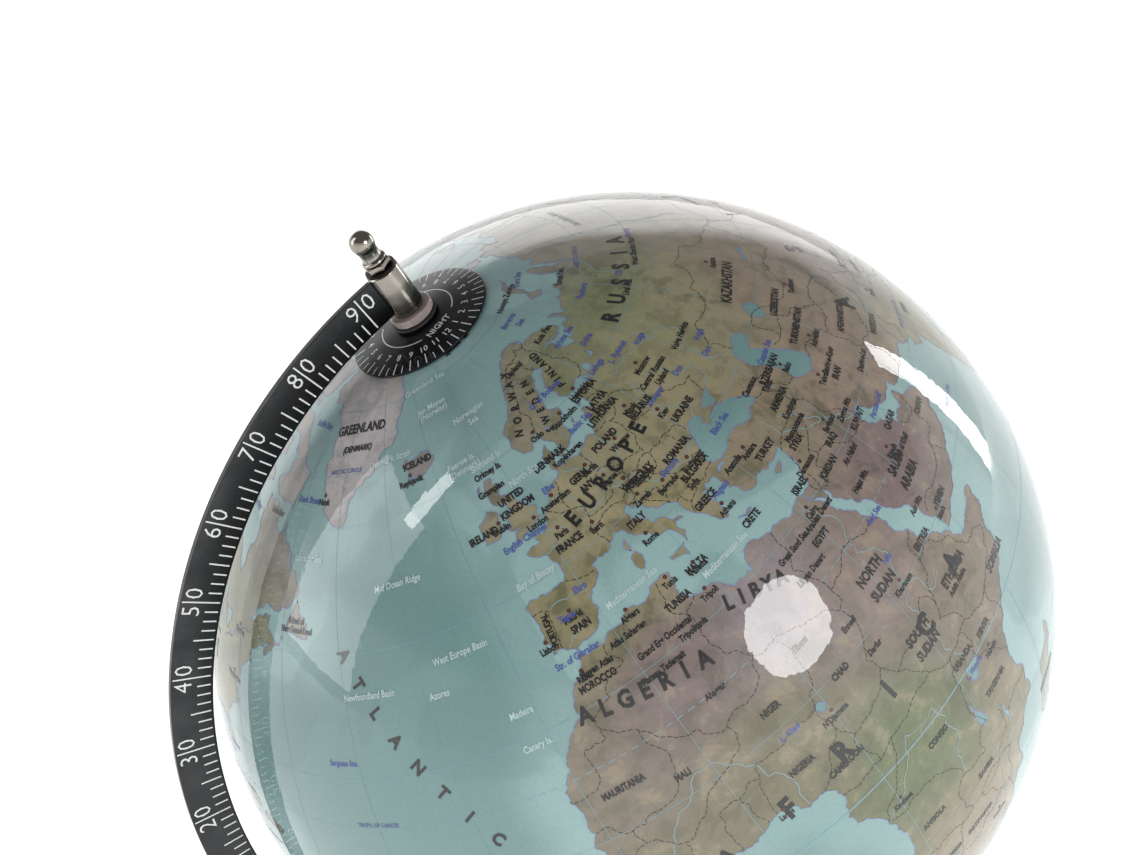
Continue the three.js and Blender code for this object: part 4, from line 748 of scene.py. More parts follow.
BORDERS: str = """-7.4 37.2 -7 38.2 -7 39.7 -6.9 41 -6.3 41.6 -8.2 42 -8.8 41.9; -1.8 43.4 .7 42.7 3.1 42.4;
    2.5 51.1 4.2 49.9 6.2 49.5 8.2 49 7.6 47.6 6.1 46.3 7 45.9 6.8 45.1 7.5 43.8; 7 45.9 8.5 46.4 10.4 46.8
    12.3 46.8 13.7 46.5 13.6 45.7; 7.6 47.6 9.5 47.5 11 47.4 13 47.6 13.8 48.8; 3.4 51.4 5 51.4 6 50.8 6.2 49.5;
    6 50.8 6 51.8 7 52.6 7.1 53.3; 8.7 54.9 9.8 54.8; 14.3 53.9 14.5 52.6 15 51 14.4 51 12.2 50.1 13.8 48.8
    15 49 17.2 48.8 18.7 49.6 16.5 50.2 15 51; 18.7 49.6 20.5 49.3 22.6 49.1 24 50.6 23.6 51.6 23.9 53.2 23.5 54
    22.7 54.4 19.6 54.4; 23.5 54 25.6 54.3 26.6 55.6 24.5 56.3 21.1 56.1; 24.3 57.9 26 57.8 27.4 57.5;
    26.6 55.6 28.2 56.1 27.4 57.5 27.5 58.8 28.1 59.4; 28.2 56.1 30.8 54.8 32.6 53.3 31.8 52.1 30.6 51.3 27 51.6
    23.6 51.6; 31.8 52.1 34.2 51.3 35.5 50.4 40 49.6 38.3 47.6 38.2 47.1; 28 60.5 31.3 62.7 29.6 64.8 30.1 66.5
    28.5 68.2 28.9 69.1 30.8 69.8; 24.1 65.8 23.6 67.5 20.6 69.1 25.8 69 26.5 70 28.9 69.1; 11.2 59 12.3 61
    12 63.3 14.5 65.5 16 67.5 18.1 68.5 20.6 69.1; 17.2 48.8 17 48 16.1 46.9 13.7 46.5; 17 48 18.9 47.8 20.5 48.4
    22.2 48.4 22.6 49.1; 22.2 48.4 22.9 48 21 46.2 20.2 46.1 18.8 45.9 16.5 46.5 16.1 46.9; 22.9 48 25 47.8
    26.8 48.2 28.2 45.5 29.6 45.3; 26.8 48.2 29.2 48 30 46.4; 20.2 46.1 21.5 45 22.6 44.2 25.5 43.7 27 44.1
    28.6 43.7; 28 42 26.4 41.8 25.3 41.3 22.9 41.3 21 40.8 20.2 39.7; 22.6 44.2 22.7 42.5 22.9 41.3; 19.4 41.9
    20.5 42.2 20.6 41 21 40.8; 18.5 42.4 17.5 43.5 15.9 44.9 19 44.9 19.3 43.6 18.5 42.4; 13.7 45.5 15.6 45.8
    16.1 46.9; 41.5 41.5 43.5 41.1 44.8 39.7 44.5 38 44.8 37.2 42.4 37.1 40 36.9 37.5 36.7 36 35.9; 40 43.4
    43.5 42.8 46.4 41.9 48.5 41.9; 43.5 41.1 45 41.3 46.5 41.1 46.4 41.9; 45 41.3 46.5 38.9 48.9 38.4; 42.4 37.1
    41.2 34.4 38.8 33.4 36.8 32.3 35.7 32.7; 36 34.6 35.7 33.2 35.2 33.1; 35.6 32.7 35.5 31.5 35 29.5 34.3 31.3;
    38.8 33.4 39.2 32.1 42 31.1 44.7 29.2 46.5 29.1 48.4 28.5; 44.8 37.2 46 35.8 45.5 34 47.8 31.5 48.5 30;
    39.2 32.1 37 31.5 38 30.5 36 29.2 35 29.4; 42.8 16.4 44 17.4 47 17 52 19 53.1 16.7; 52 19 55 20 55.2 22.7
    52.6 22.9 51.6 24.2; 55.2 22.7 56 24.8; 25 31.6 25 22 25 20 24 19.5; 25 22 36.9 22; 11.5 33.1 9.1 32.1
    9.5 30.2 9.4 26 12 23.5 15 23 16 23.4 24 19.5 24 15.7 22 13 22.9 11; 8.6 36.9 8.3 35 7.6 33.3 9.1 32.1;
    -2.2 35.1 -1.2 32.3 -5.5 29.8 -8.7 28.7 -8.7 27.3 -4.8 25 1.2 21.1 3.2 19 4.2 19.1 12 23.5; -8.7 27.3 -8.7 26
    -12 26 -12 23.5 -13 21.3 -17 21.3; -4.8 25 -5.7 16 -9.3 15.6 -12.2 14.8 -14.5 16.6 -16.3 16.4; -12.2 14.8
    -11.5 12.5 -16.7 12.4; 4.2 19.1 4 16.5 .2 15 -2 14.2 -5.3 11.5 -8 10.2 -11.5 12.5; 3.6 11.8 4.1 13.5
    7.5 13.1 13.6 13.7 15.5 16.5 15.9 20.4 15 23; 13.6 13.7 14.1 11 13.2 9 11 6.7 8.6 4.8; 2.7 6.4 2.8 9 3.6 11.8
    2.4 12.2 0 11.1 .5 8 1.2 6.1; -3.1 5.1 -2.8 9.5 -2.8 11 0 11.1; -7.5 4.4 -8.4 7.6 -8 10.2; 14.1 11 15.5 7.6
    18.5 8 22.9 11 24.2 8.7 27.4 5; 9.8 2.3 13.2 2.3 16.1 2.2 18.6 3.5 22.5 4.1 27.4 5 30.8 3.5 34 4.2 35.9 4.6
    38 3.6 41.9 3.9 41 2.8 41.5 -1.6; 15.5 7.6 14.6 5.5 16.1 2.2; 24.2 8.7 28 9.4 31 9.8 33 12.2 34.1 9.5 33 7.9
    35.9 4.6; 34.1 9.5 36.1 12.7 36.5 14.3 37 17 38.6 18; 36.5 14.3 40 14.5 42.4 12.5 42.7 10.7 44 9 47.9 8 45 5
    41.9 3.9; 34 4.2 35 1.8 34 .5 33.9 -1 37.6 -3 39.2 -4.7; 12.4 -5.9 16 -2 18.6 3.5; 30.8 3.5 29.8 -.5
    29.2 -3.3 30.7 -8.3 28.4 -9.2 28.6 -12 24 -11 21.8 -7.3 16.5 -6 12.4 -5.9; 24 -11 22 -13 22 -16.2 23.4 -17.6
    18.4 -17.4 14 -17.4 11.8 -17.3; 21 -18 20 -22 20 -28.4 16.5 -28.6; 20 -24.8 23 -25.3 27 -23.7 29.4 -22.2
    25.3 -17.8 28.9 -15.9 32.9 -16.7 32.4 -21.3 31.3 -22.4 29.4 -22.2; 31.3 -22.4 32 -25.5 32.8 -26.8;
    40.4 -10.5 34.6 -11.6; 33 -9.4 33 -14 30.3 -15; 53.9 37.3 56.5 38.2 61 36.6 60.6 34.3 61 31.3 63.2 27.2
    61.6 25.2; 61.2 35.4 66.5 37.4 71.5 37.8 74.8 37.3 71.1 34.5 69.5 32.5 66.3 30 61 29.8; 68.2 23.7 71 25
    70.3 27.9 74.5 31 75 33 77.8 35.5; 49.2 46.3 48 49 52 51.5 58.5 51 61.5 53 70 55.2 76.5 54.3 80 51 87.3 49.1
    82.5 45.2 80.2 42.2 71 42.5 69 41.3 66.5 41.5 61 44.3 56 45 56 41.3 53 41.8; 56 41.3 60.1 42.2 66.5 37.4;
    87.3 49.1 98 50.5 106 50.3 116.7 49.9 119.8 46.7 111.8 43.7 105 41.6 96.3 42.8 91 45.2 87.3 49.1; 116.7 49.9
    120 53.2 127.5 50 131 47.7 135 48.4 131.2 44.9 130.6 42.4 124.2 39.9; 126.7 37.8 128.4 38.6; 77.8 35.5
    79 32.5 81.1 30.2 88.1 27.9 92 27.8 97.4 28.3 98.6 25.8 100.2 21.5 102.2 22.4 105.4 23.2 108 21.5; 81.1 30.2
    80.1 28.8 88.1 26.4 88.1 27.9; 89 21.9 88.6 26.3 92.2 25.1 92.3 22; 92.6 22 94.5 25 97.4 28.3; 100.1 20.4
    97.6 18.4 98.9 15 99.2 11.7 98.7 10; 100.1 20.4 101.3 17.7 104.5 17.5 105.6 14.4 102.4 13.6 102.9 11.7;
    102.2 22.4 104.5 19.6 107.5 14.6 105.9 11.6 104.5 10.4; 100.1 6.5 102.1 6.2; 109.6 2 112 1.4 115.8 4.3;
    141 -2.6 141 -9.1; -123 49 -95.2 49 -89.5 48 -84.5 46.5 -82.5 43 -79 42.8 -76.5 44.1 -74.8 45 -71.3 45.3
    -69.2 47.4 -67 45.2; -141 69.6 -141 60.2 -135 59.5 -130 55.3; -117.1 32.5 -111 31.4 -106.5 31.8 -103 29
    -99.5 27.5 -97.2 25.9; -92.2 14.6 -90.5 16.5 -89.2 17.9; -88.2 15.7 -89.4 14.4 -87.7 13.1; -83.2 15 -87.3 13;
    -83.7 10.9 -85.7 11.1; -82.6 9.5 -82.9 8.1; -72 11.8 -72.5 7.4 -67.5 6.2 -67 1.2 -69.4 -1.1 -70 -4.3
    -73.8 -7.3 -70.6 -9.6 -69.6 -10.9 -65.4 -10 -60.2 -13.5 -58.2 -16.3 -57.8 -20 -57.8 -22.1 -54.3 -24
    -54.6 -25.6 -53.8 -27.2 -57.6 -30.2 -58.3 -34; -78.9 1.4 -75.3 -.1 -72.9 -2.4 -70 -4.3; -80.3 -3.5
    -78.5 -4.5 -75.3 -.1; -69.6 -10.9 -69 -15.3 -69.5 -17.5 -70.4 -18.3; -69.5 -17.5 -68.2 -21.5 -67 -23
    -62.8 -22 -61.8 -19.6 -57.8 -20; -62.8 -22 -57.7 -25.3 -58.6 -27.2 -54.6 -25.6; -67 -23 -69.5 -28 -70 -33
    -71.2 -38 -71.8 -44 -72.5 -49 -71.9 -52 -68.4 -52.3; -57.6 -30.2 -53.4 -33.7; -60 8.4 -60.7 5.2 -64 3
    -64.5 1.5 -67 1.2; -60.7 5.2 -59.9 2.6 -56.5 1.9 -52.5 2.3 -51.7 4; -57.2 5.9 -57.5 3.4 -56.5 1.9;
    -54 5.7 -54.5 2.4"""

RIVERS: str = """8.2 47.6 8.3 49.5 6.8 51.4 4.5 51.9; 8.5 48 13.3 48.6 16.5 48.1 19 47.6 19.2 45.6 22.5 44.6
    26 43.8 28 45.3 29.6 45.2; 33 57 38 57.6 44 56.3 48.5 55.8 49.5 53.3 46 51.3 45 48.5 48 46; 32 55.5 31 52
    31 49.8 35 48 33 46.6; 36 54 39.2 52.5 39 51 42.5 49.6 41.5 47.8 39.4 47.2; 19 49.8 20 51.5 19 53 18.9 54.3;
    15.5 50.5 13.5 51.8 11.5 53 9.5 53.6; -6 41.6 -3 41.6 -2 41.9; -4 38 -5.5 37.6 -6.3 36.9; 2 47 -.5 47.3
    -2 47.2; 3.5 48.2 2.3 48.9 .3 49.4; 33 2 31 5 31 9.5 32.6 15.5 34 19 31 22 32.8 25.5 31 29.8 30.8 31.3;
    37.5 11.7 35 11 32.6 15.5; -10 9.5 -7.5 12.8 -3.5 15.8 0 17 3 14 6.5 9 6.3 4.8; 24 -11 26 -4 25 1.5 20 2
    17 -2.5 12.6 -6; 38.5 39.5 38.3 37 41 35 45 33 48 30.2; 40.5 38.3 42.5 36.8 44.3 34 46.5 32 48 30.2;
    72 66.5 67 65 66 62.5 69 61 68 58.5 74 57.5 83 55 85 52; 82 72 86 68 90 62 92 56 94 52; 127 72.5 124 66
    130 62 120 60 108 55; 74 33 71 30 68 26.5 67.6 24; 78 30.2 80 27 85 25.5 89 23.5; 82 30.5 91 29.3 95 29.5
    91 25.5 90 23.5; 100 33 99 28 102 27 107 29.5 112 30 118 31.5 121.5 31.8; 97 35 103 37 108 40.5 111 37
    115 35 119 37.6; 94 33 98.5 28 100.5 21 104.5 17.5 105.8 13 106.5 10; -95 47 -91.5 43 -90.5 38.5 -89.5 35
    -91.5 31 -89.5 29.2; -111 46 -104 48 -97 43 -90.5 38.7; -112 60 -118 62 -126 65 -134 68.8; -76 -5 -70 -4
    -62 -3.5 -55 -2 -50.5 -.5; -58 -20 -57.6 -26 -60.5 -31.5 -58.6 -34; 147 -36 142 -34.2 139.5 -35.3;
    23 -17.5 27 -18 30.5 -15.7 35 -18"""

RANGES: str = """6.5 44.5 8 46 12 47 15 47.3; -1.5 43 2.5 42.5; 18 49.3 24 48 25.5 45.6 22.5 45.3; 15 45 20 42
    21.5 39.5; 9.5 44.4 13.5 42.4 16 39.8; 6.5 60.5 9 62 14 66 20 69; -4.5 57; 3 45; -5 40.3 -2 41; -3 37.2;
    -8 31 -2 33.5 7 35.5; 59 52 58.5 58 60.5 64 66 68; 39 44 43 43 48 41.3; 30 37.5 36 38 43 39; 45 36 50 32
    57 28; 49 37 54 36; 5.5 23.5; 18 21; 38.5 14 38 9 40 7; 38 27 42 19 44.5 14.5; 66 35 73 37 78 34 86 28.5
    95 29; 72 42 80 42.5 88 43.5; 86 50 92 48; 78 36.5 90 36 98 36; 95 53 108 53 120 56 132 58; 128 68 136 63
    145 63; 158 54 161 57; -150 63 -140 61 -125 55 -117 50 -112 44 -107 38 -105 33; -121 39.5 -118 36;
    -108 28 -103 21; -84 35 -79 38.5 -74 43; -73 10 -76 3 -79 -3 -76 -11 -69 -17 -67 -23 -70 -32 -71.5 -41
    -73 -49; -45 -18; 28 -31 30 -27; 146 -18 150 -26 149 -34 147 -37; 169 -44; 138 -4 145 -6; 138 36.5; 30 0;
    36.5 -1; 12 7"""

PRINT_DEPTH = 0.805
"""How far the printed paper darkens a named tint."""

TINTS: str = """-19 65 A8A09C; 0 40 A19A72; 14 64 A59C84; 68 47 B39F8A; 120 63 A79C86; 160 66 A8A092;
    100 41 B29A83; 87 34 A6968A; 112 29 8C9268; 78 22 97926A; 102 14 7D895E; 37 39 A99A80; 56 33 B09A88;
    4 28 988582; 8 12 918B6E; 21 0 7C885E; 39 6 998A78; 24 -24 A69878; 47 -19 94906B; -105 62 9D9D82;
    -88 42 8E956C; -112 40 A69579; -102 24 AE987C; -62 -6 748659; -64 -26 98946C; -70 -46 A69A83;
    134 -25 B2977A; 148 -35 8C9268; 0 -84 C6C3CA; -80 76 A8A2A0; 15 78 A9A4A4; 62 75 A8A498; 138 37 8C9268;
    113 0 7A8759"""
"""Land tints by place, before the print darkens them."""

PRINT_AND_PAINTED_LIGHT_TINTS: str = """-40 72 B9B4B6; 8 50 948D6F; 14 42 8D8561; 25 63 7D8160; 40 57 94916F; 54 63 7C8360;
    34 49 938B6C; 60 54 959072; 90 66 938C7D; 45 25 776664; 18 27 877B80; 30 20 85766F"""
# Land tints given as they print, paler or deeper than the rest: partly the print's own tone and partly painted light
# and shade, matched to where the light falls on the ball.
"""Land tints given as they print, where the print is paler or deeper than the rest."""

NAMES: dict[str, str] = {
    "great": """45.4 22.8 SAUDI; 45.4 20.6 ARABIA; 30.4 19.4 NORTH; 30.4 16.9 SUDAN; 29.6 9.6 SOUTH; 29.6 7.2 SUDAN;
        39.4 9.6 ETHIOPIA; 66 48.6 KAZAKHSTAN; -98 58.5 CANADA; -97 39.5 UNITED STATES; 106 35 CHINA;
        -53 -10 BRAZIL; 46.5 4 SOMALIA; -42 72.6 GREENLAND""",
    "country": """-19 65.3 ICELAND; -1.6 55.1 UNITED; -1.6 53.6 KINGDOM; -10 52.8 IRELAND; 9.2 55.9 DENMARK;
        11 51.9 GERM; 11 50.4 ANY; 2.4 46.6 FRANCE; 19.5 52.9 POLAND; 29 52.2 BELARUS; 33 48.1 UKRAINE;
        26 45.8 ROMANIA; 18.2 47 HUNGARY; 25.4 42.9 BULGARIA; 12.8 43.6 ITALY; -3.4 38.2 SPAIN;
        25.8 58.9 ESTONIA; 25.5 56.9 LATVIA; 24 55.4 LITHUANIA; 22.5 39.6 GREECE; 24.8 34.3 CRETE; 14.6 35.4 MALTA;
        -5.6 32 MOROCCO; 9.4 33.8 TUNISIA; 34.6 37.6 TURKEY; 38.6 34.9 SYRIA; 42.2 31.4 IRAQ; 38.2 30.2 JORDAN;
        33.2 32 ISRAEL; 53.5 33.5 IRAN; 47.8 29.4 KUWAIT; 51 25.4 QATAR; 46 15.6 YEMEN; 56.8 21.8 OMAN;
        43.6 39 ARMENIA; 48 41.4 AZERBAIJAN; 29.3 26.6 EGYPT; 59.5 39.6 TURKMENISTAN; 63.5 42.6 UZBEKISTAN;
        66 33.8 AFGHANISTAN; 68 29 PAKISTAN; 39 15.6 ERITREA; 37.5 1 KENYA; 32.4 1.6 UGANDA; 34.8 -6 TANZANIA;
        8.2 9.4 NIGERIA; 18.8 14.6 CHAD; 9.4 17.4 NIGER; -3.5 17.6 MALI; -10.3 20 MAURITANIA; 12.6 5.6 CAMEROON;
        23.5 -2.5 CONGO; 17.6 -12 ANGOLA; 17.8 -22 NAMIBIA; 27.5 -14.5 ZAMBIA; 24 -22 BOTSWANA;
        47 -19.5 MADAGASCAR; 78.5 22 INDIA; 103.5 46.5 MONGOLIA; 138 37.3 JAPAN; 101 16 THAILAND;
        114 0 BORNEO; 134 -24.5 AUSTRALIA; 143 -5.6 PAPUA; 171 -43 NEW ZEALAND; -102 24.5 MEXICO;
        -77 21.5 CUBA; -74 4.5 COLOMBIA; -66 7.5 VENEZUELA; -75 -9 PERU; -65 -17 BOLIVIA; -70.8 -28 CHILE;
        -65 -35 ARGENTINA""",
    "town": """-21.9 64.1 Reykjavik; -.1 51.5 London; -6.3 53.3 Dublin; 2.3 48.9 Paris; 4.9 52.4 Amsterdam;
        12.6 55.7 Kopenhagen; 10.7 59.9 Oslo; 18.1 59.3 Stockholm; 24.9 60.2 Helsinki; 24.1 56.9 Riga;
        13.4 52.5 Berlin; 21 52.2 Warsaw; 27.6 53.9 Minsk; 30.5 50.5 Kiev; 37.6 55.8 Moscow; 14.4 50.1 Prague;
        16.4 48.2 Vienna; 19.1 47.5 Budapest; 26.1 44.4 Bucharest; 23.3 42.7 Sofia; 16 45.8 Zagreb;
        20.5 44.8 Belgrade; 7.4 46.9 Bern; 12.5 41.9 Rome; 23.7 38 Athens; 32.9 39.9 Ankara; -3.7 40.4 Madrid;
        -9.1 38.7 Lisbon; -6.8 34 Rabat; 3 36.8 Algiers; 10.2 36.8 Tunis; 13.2 32.9 Tripoli; 14.5 35.9 Valletta;
        31.2 30 Cairo; 36.3 33.5 Damascus; 44.4 33.3 Baghdad; 51.4 35.7 Tehran; 46.7 24.7 Riyadh;
        44.8 41.7 Tbilisi; 49.9 40.4 Baku; 58.4 37.9 Ashgabat; 69.2 41.3 Tashkent; 71.4 51.2 Astana;
        32.5 15.6 Khartoum; 38.7 9 Addis Ababa; 15 12.1 N'Djamena; 44.2 15.4 Sana'a; 36.8 -1.3 Nairobi;
        -51.7 64.2 Nuuk; 28.2 -25.7 Pretoria; 77.2 28.6 Delhi; 116.4 39.9 Beijing; 139.7 35.7 Tokyo;
        100.5 13.8 Bangkok; 106.8 -6.2 Jakarta; 151.2 -33.9 Sydney; 149.1 -35.3 Canberra; -77 38.9 Washington;
        -75.7 45.4 Ottawa; -99.1 19.4 Mexico City; -74.1 4.7 Bogota; -77 -12 Lima; -47.9 -15.8 Brasilia;
        -58.4 -34.6 Buenos Aires; -70.7 -33.5 Santiago; -118 34 Los Angeles; -87.6 41.9 Chicago;
        174.8 -41.3 Wellington; 18.4 -33.9 Cape Town; 3.4 6.5 Lagos; 15.3 -4.3 Kinshasa; 121.5 31.2 Shanghai""",
    "region": """52.5 75.2 Novaya Zemlya; 17 77.4 Spitsbergen; 22 79 Edgeoya; 36.5 67.9 Kola Pen.;
        37 53.4 Central Russian; 37 52.2 Upland; 47.8 52.6 Volga Heights; 20.5 67.9 Lapland; 29.6 39.7 Anatolia;
        40.5 35.9 Mesopotamia; 31.5 28.3 Arabian Desert; 39.5 26 Hejaz Mts.; 42.3 18.2 Asir Mts.;
        25.5 28.4 Great Sand Sea; 25 25.2 Libyan Desert; 23.5 17.6 Ennedi; 24 13.2 Darfur; 1.2 34.4 Atlas Saharien;
        4.8 31.6 Grand Erg Occidental; 2.3 29 Plateau Tademait; 5.6 23.3 Ahaggar; -4.8 33.4 Moyen Atlas;
        8.4 30.3 Tripolitania; -4.3 57.2 Grampian; -3 59.4 Orkney Is.; 43 37.4 Kurdistan; 55 34.9 Dasht-e-Kavir;
        58.5 30.6 Dasht-e-Lut; 48 31.3 Zagros Mts.; 43 42.7 Caucasus; 48.5 22.8 Rub al Khali; 42 28.6 An Nafud;
        -56 48.9 Island of; -56 47.8 New Found Land; -71 61 Labrador; 59.5 60.5 Ural Mts.; 75 60 West Siberian Plain;
        105 65 Central Siberian Plateau; 85 31 Plateau of Tibet; 103 43 Gobi; 17.2 20.5 Tibesti; 64 69 Yamal Pen.;
        -42 69.9 (DENMARK); 85 28.2 Himalaya; -60 -10 Mato Grosso; -122 64 Mackenzie Mts.;
        123 -29 Great Victoria Desert""",
    "water": """38.5 73.2 Barents; 39 71.6 Sea; 66 74.4 Kara Sea; 37.5 65.3 White Sea; 19.6 62.4 G. of Bothnia;
        19.2 56.6 Baltic Sea; 51 42.6 Caspian Sea; 34.2 43.6 Black Sea; 25.2 39.1 Aegean; -3.6 50 English Channel;
        -6.2 35.6 Str. of Gibraltar; 31.8 59.6 L. Ladoga; 38.5 58.4 L. Rybinsk; 43.8 56.9 Volga; 39 62.6 Dvina;
        56.8 65.8 Pechora; 39.8 51 Don; 32.7 51.6 Dnieper; 49.5 50.6 Volga; 46.4 49 Don; 22.8 45.2 Danube;
        36.8 22.6 Red Sea; 51.9 27.6 Persian Gulf; 63 17 Arabian Sea; 88 14 Bay of Bengal; 33.4 18.4 Nile;
        -.5 41.8 Ebro; -4.5 39.9 Tagus; 65 61.8 Ob; 84.5 60 Yenisey; 124 60.7 Lena; 5.2 53.2 Elbe;
        -48 32 Sargasso Sea; -80 27 Bahamas; -88 25 Gulf of Mexico; -85 60 Hudson Bay; 147 54 Sea of Okhotsk;
        135 40 Sea of Japan; 114 12 South China Sea; 9.5 13.7 L. Chad; 33 -1 L. Victoria; 155 -17 Coral Sea;
        -75 15 Caribbean Sea; 160 -38 Tasman Sea; -58.5 63.5 Davis Strait; -66 73 Baffin Bay""",
    "sea": """1 67.6 Norwegian; 1 66.3 Sea; 3 56.4 North Sea; -5.5 45.6 Bay of Biscay; 5.5 38.3 Mediterranean Sea;
        18.4 33.9 Mediterranean Sea; -28 67.2 Denmark Strait; -8.5 75.2 Greenland Sea; -54 56.5 Labrador Sea;
        -7.5 62.4 Faeroe Is.; -7.5 61.3 (Denmark); -9 71.6 Jan Mayen; -9 70.6 (Norway); -2 60.7 Shetland Is.;
        -17 33 Madeira; -27.5 38.3 Azores; -17 28.9 Canary Is.; -30 52 Mid Ocean Ridge; -22 42 West Europe Basin;
        -40 40 Newfoundland Basin""",
}
"""Names by kind: longitude, latitude and the words at that place."""

SPREAD_NAMES: str = """5.3 48.5 25.3 50.9 5 EUROPE; 48 61.1 81 61.8 5.4 RUSSIA; -9.5 29.4 7.1 26.9 5.4 ALGERIA;
    14.2 29.8 21.5 27.4 4.6 LIBYA; 8.3 60.9 17.8 68.3 2.6 NORWAY; 14 58.6 19 65.4 2.4 SWEDEN;
    24.5 61.6 28 67.2 2.4 FINLAND; -7.9 38 -7.3 41.4 2 PORTUGAL; -5 5 40 10.1 7.5 AFRICA;
    70 33 108 48 7 ASIA; -125 55 -88 38 7 NORTH AMERICA; -66 -3 -52 -25 6.5 SOUTH AMERICA; 118 -21 148 -28 6 AUSTRALIA;
    20 -80 120 -80 5 ANTARCTICA; -44 45 -28 20 4.6 ATLANTIC; -28 -8 -10 -28 4.6 SOUTH ATLANTIC OCEAN;
    66 -12 92 -28 4.6 INDIAN OCEAN; 160 20 200 8 5 PACIFIC OCEAN; -150 -18 -100 -30 5 SOUTH PACIFIC OCEAN;
    -170 78 -120 84 3.6 ARCTIC OCEAN"""
"""Names spread between two places: both places, the letters' height and the word."""

LonLat = tuple[float, float]


def places(text: str) -> list[LonLat]:
    """Reads longitude and latitude pairs from plain text."""
    numbers = [float(word) for word in text.split()]
    return list(zip(numbers[0::2], numbers[1::2]))


def on_shell(lon: Any, lat: Any, radius: float) -> np.ndarray:
    """Gives points at longitudes and latitudes in degrees, in metres on the axis's own frame.

    Args:
        lon: Longitudes east.
        lat: Latitudes north.
        radius: Distance from the ball's centre in millimetres.

    Returns:
        One row of three numbers for each place.
    """
    east, north = np.radians(np.asarray(lon, float)) + GREENWICH, np.radians(np.asarray(lat, float))
    level = np.cos(north)
    return np.stack([level * np.cos(east), level * np.sin(east), np.sin(north)], -1) * radius * MM


def on_ball(lon: Any, lat: Any, radius: float) -> np.ndarray:
    """Gives the same points for places of the printed map, which leans off the pivots."""
    return on_shell(lon, lat, radius) @ PRINT_LEAN.T


def leant(ring: np.ndarray) -> np.ndarray:
    """Turns a printed outline into the shell's own longitudes and latitudes, but for a corner at a pole."""
    place = on_ball(ring[:, 0], ring[:, 1], 1 / MM)
    lon = np.degrees(np.arctan2(place[:, 1], place[:, 0]) - GREENWICH)
    near = ring[:, 0] + (lon - ring[:, 0] + 180) % 360 - 180
    turned_ring = np.stack([near, np.degrees(np.arcsin(place[:, 2]))], 1)
    return np.where(np.abs(ring[:, 1:]) > 88, ring, turned_ring)


def roughened(line: list[LonLat], seed: str, longest: float = 0.8, closed: bool = True) -> np.ndarray:
    """Breaks a coarse coast or border into short wandering steps, the same on every run.

    Args:
        line: The named places that the line passes through.
        seed: Name that the wander is drawn from.
        longest: Longest step left, in degrees.
        closed: Whether the line comes back to its start.

    Returns:
        The finer line, one row for each place.
    """
    chance = random.Random(seed)
    ends = line[1:] + line[:1] if closed else line[1:]
    fine: list[LonLat] = []

    def split(a: LonLat, b: LonLat) -> None:
        """Adds a step's start, halving the step until it is short enough."""
        level = max(0.15, math.cos(math.radians((a[1] + b[1]) / 2)))
        east, north = (b[0] - a[0]) * level, b[1] - a[1]
        length = math.hypot(east, north)
        if length < longest or length > 60 or abs(a[1]) > 89:
            fine.append(a)
            return
        sway = chance.uniform(-0.2, 0.2)
        middle = ((a[0] + b[0]) / 2 - north * sway / level, (a[1] + b[1]) / 2 + east * sway)
        split(a, middle)
        split(middle, b)

    for start, end in zip(line, ends):
        split(start, end)
    if not closed:
        fine.append(line[-1])
    return np.array(fine)


def inside(points: np.ndarray, ring: np.ndarray) -> np.ndarray:
    """Tells which points lie inside a closed outline, by counting its crossings."""
    x, y = points[:, :1], points[:, 1:]
    x0, y0 = ring[:, 0], ring[:, 1]
    x1, y1 = np.roll(x0, -1), np.roll(y0, -1)
    rise = np.where(y1 == y0, 1e-12, y1 - y0)
    crosses = ((y0 > y) != (y1 > y)) & (x < (x1 - x0) * (y - y0) / rise + x0)
    return crosses.sum(1) % 2 == 1


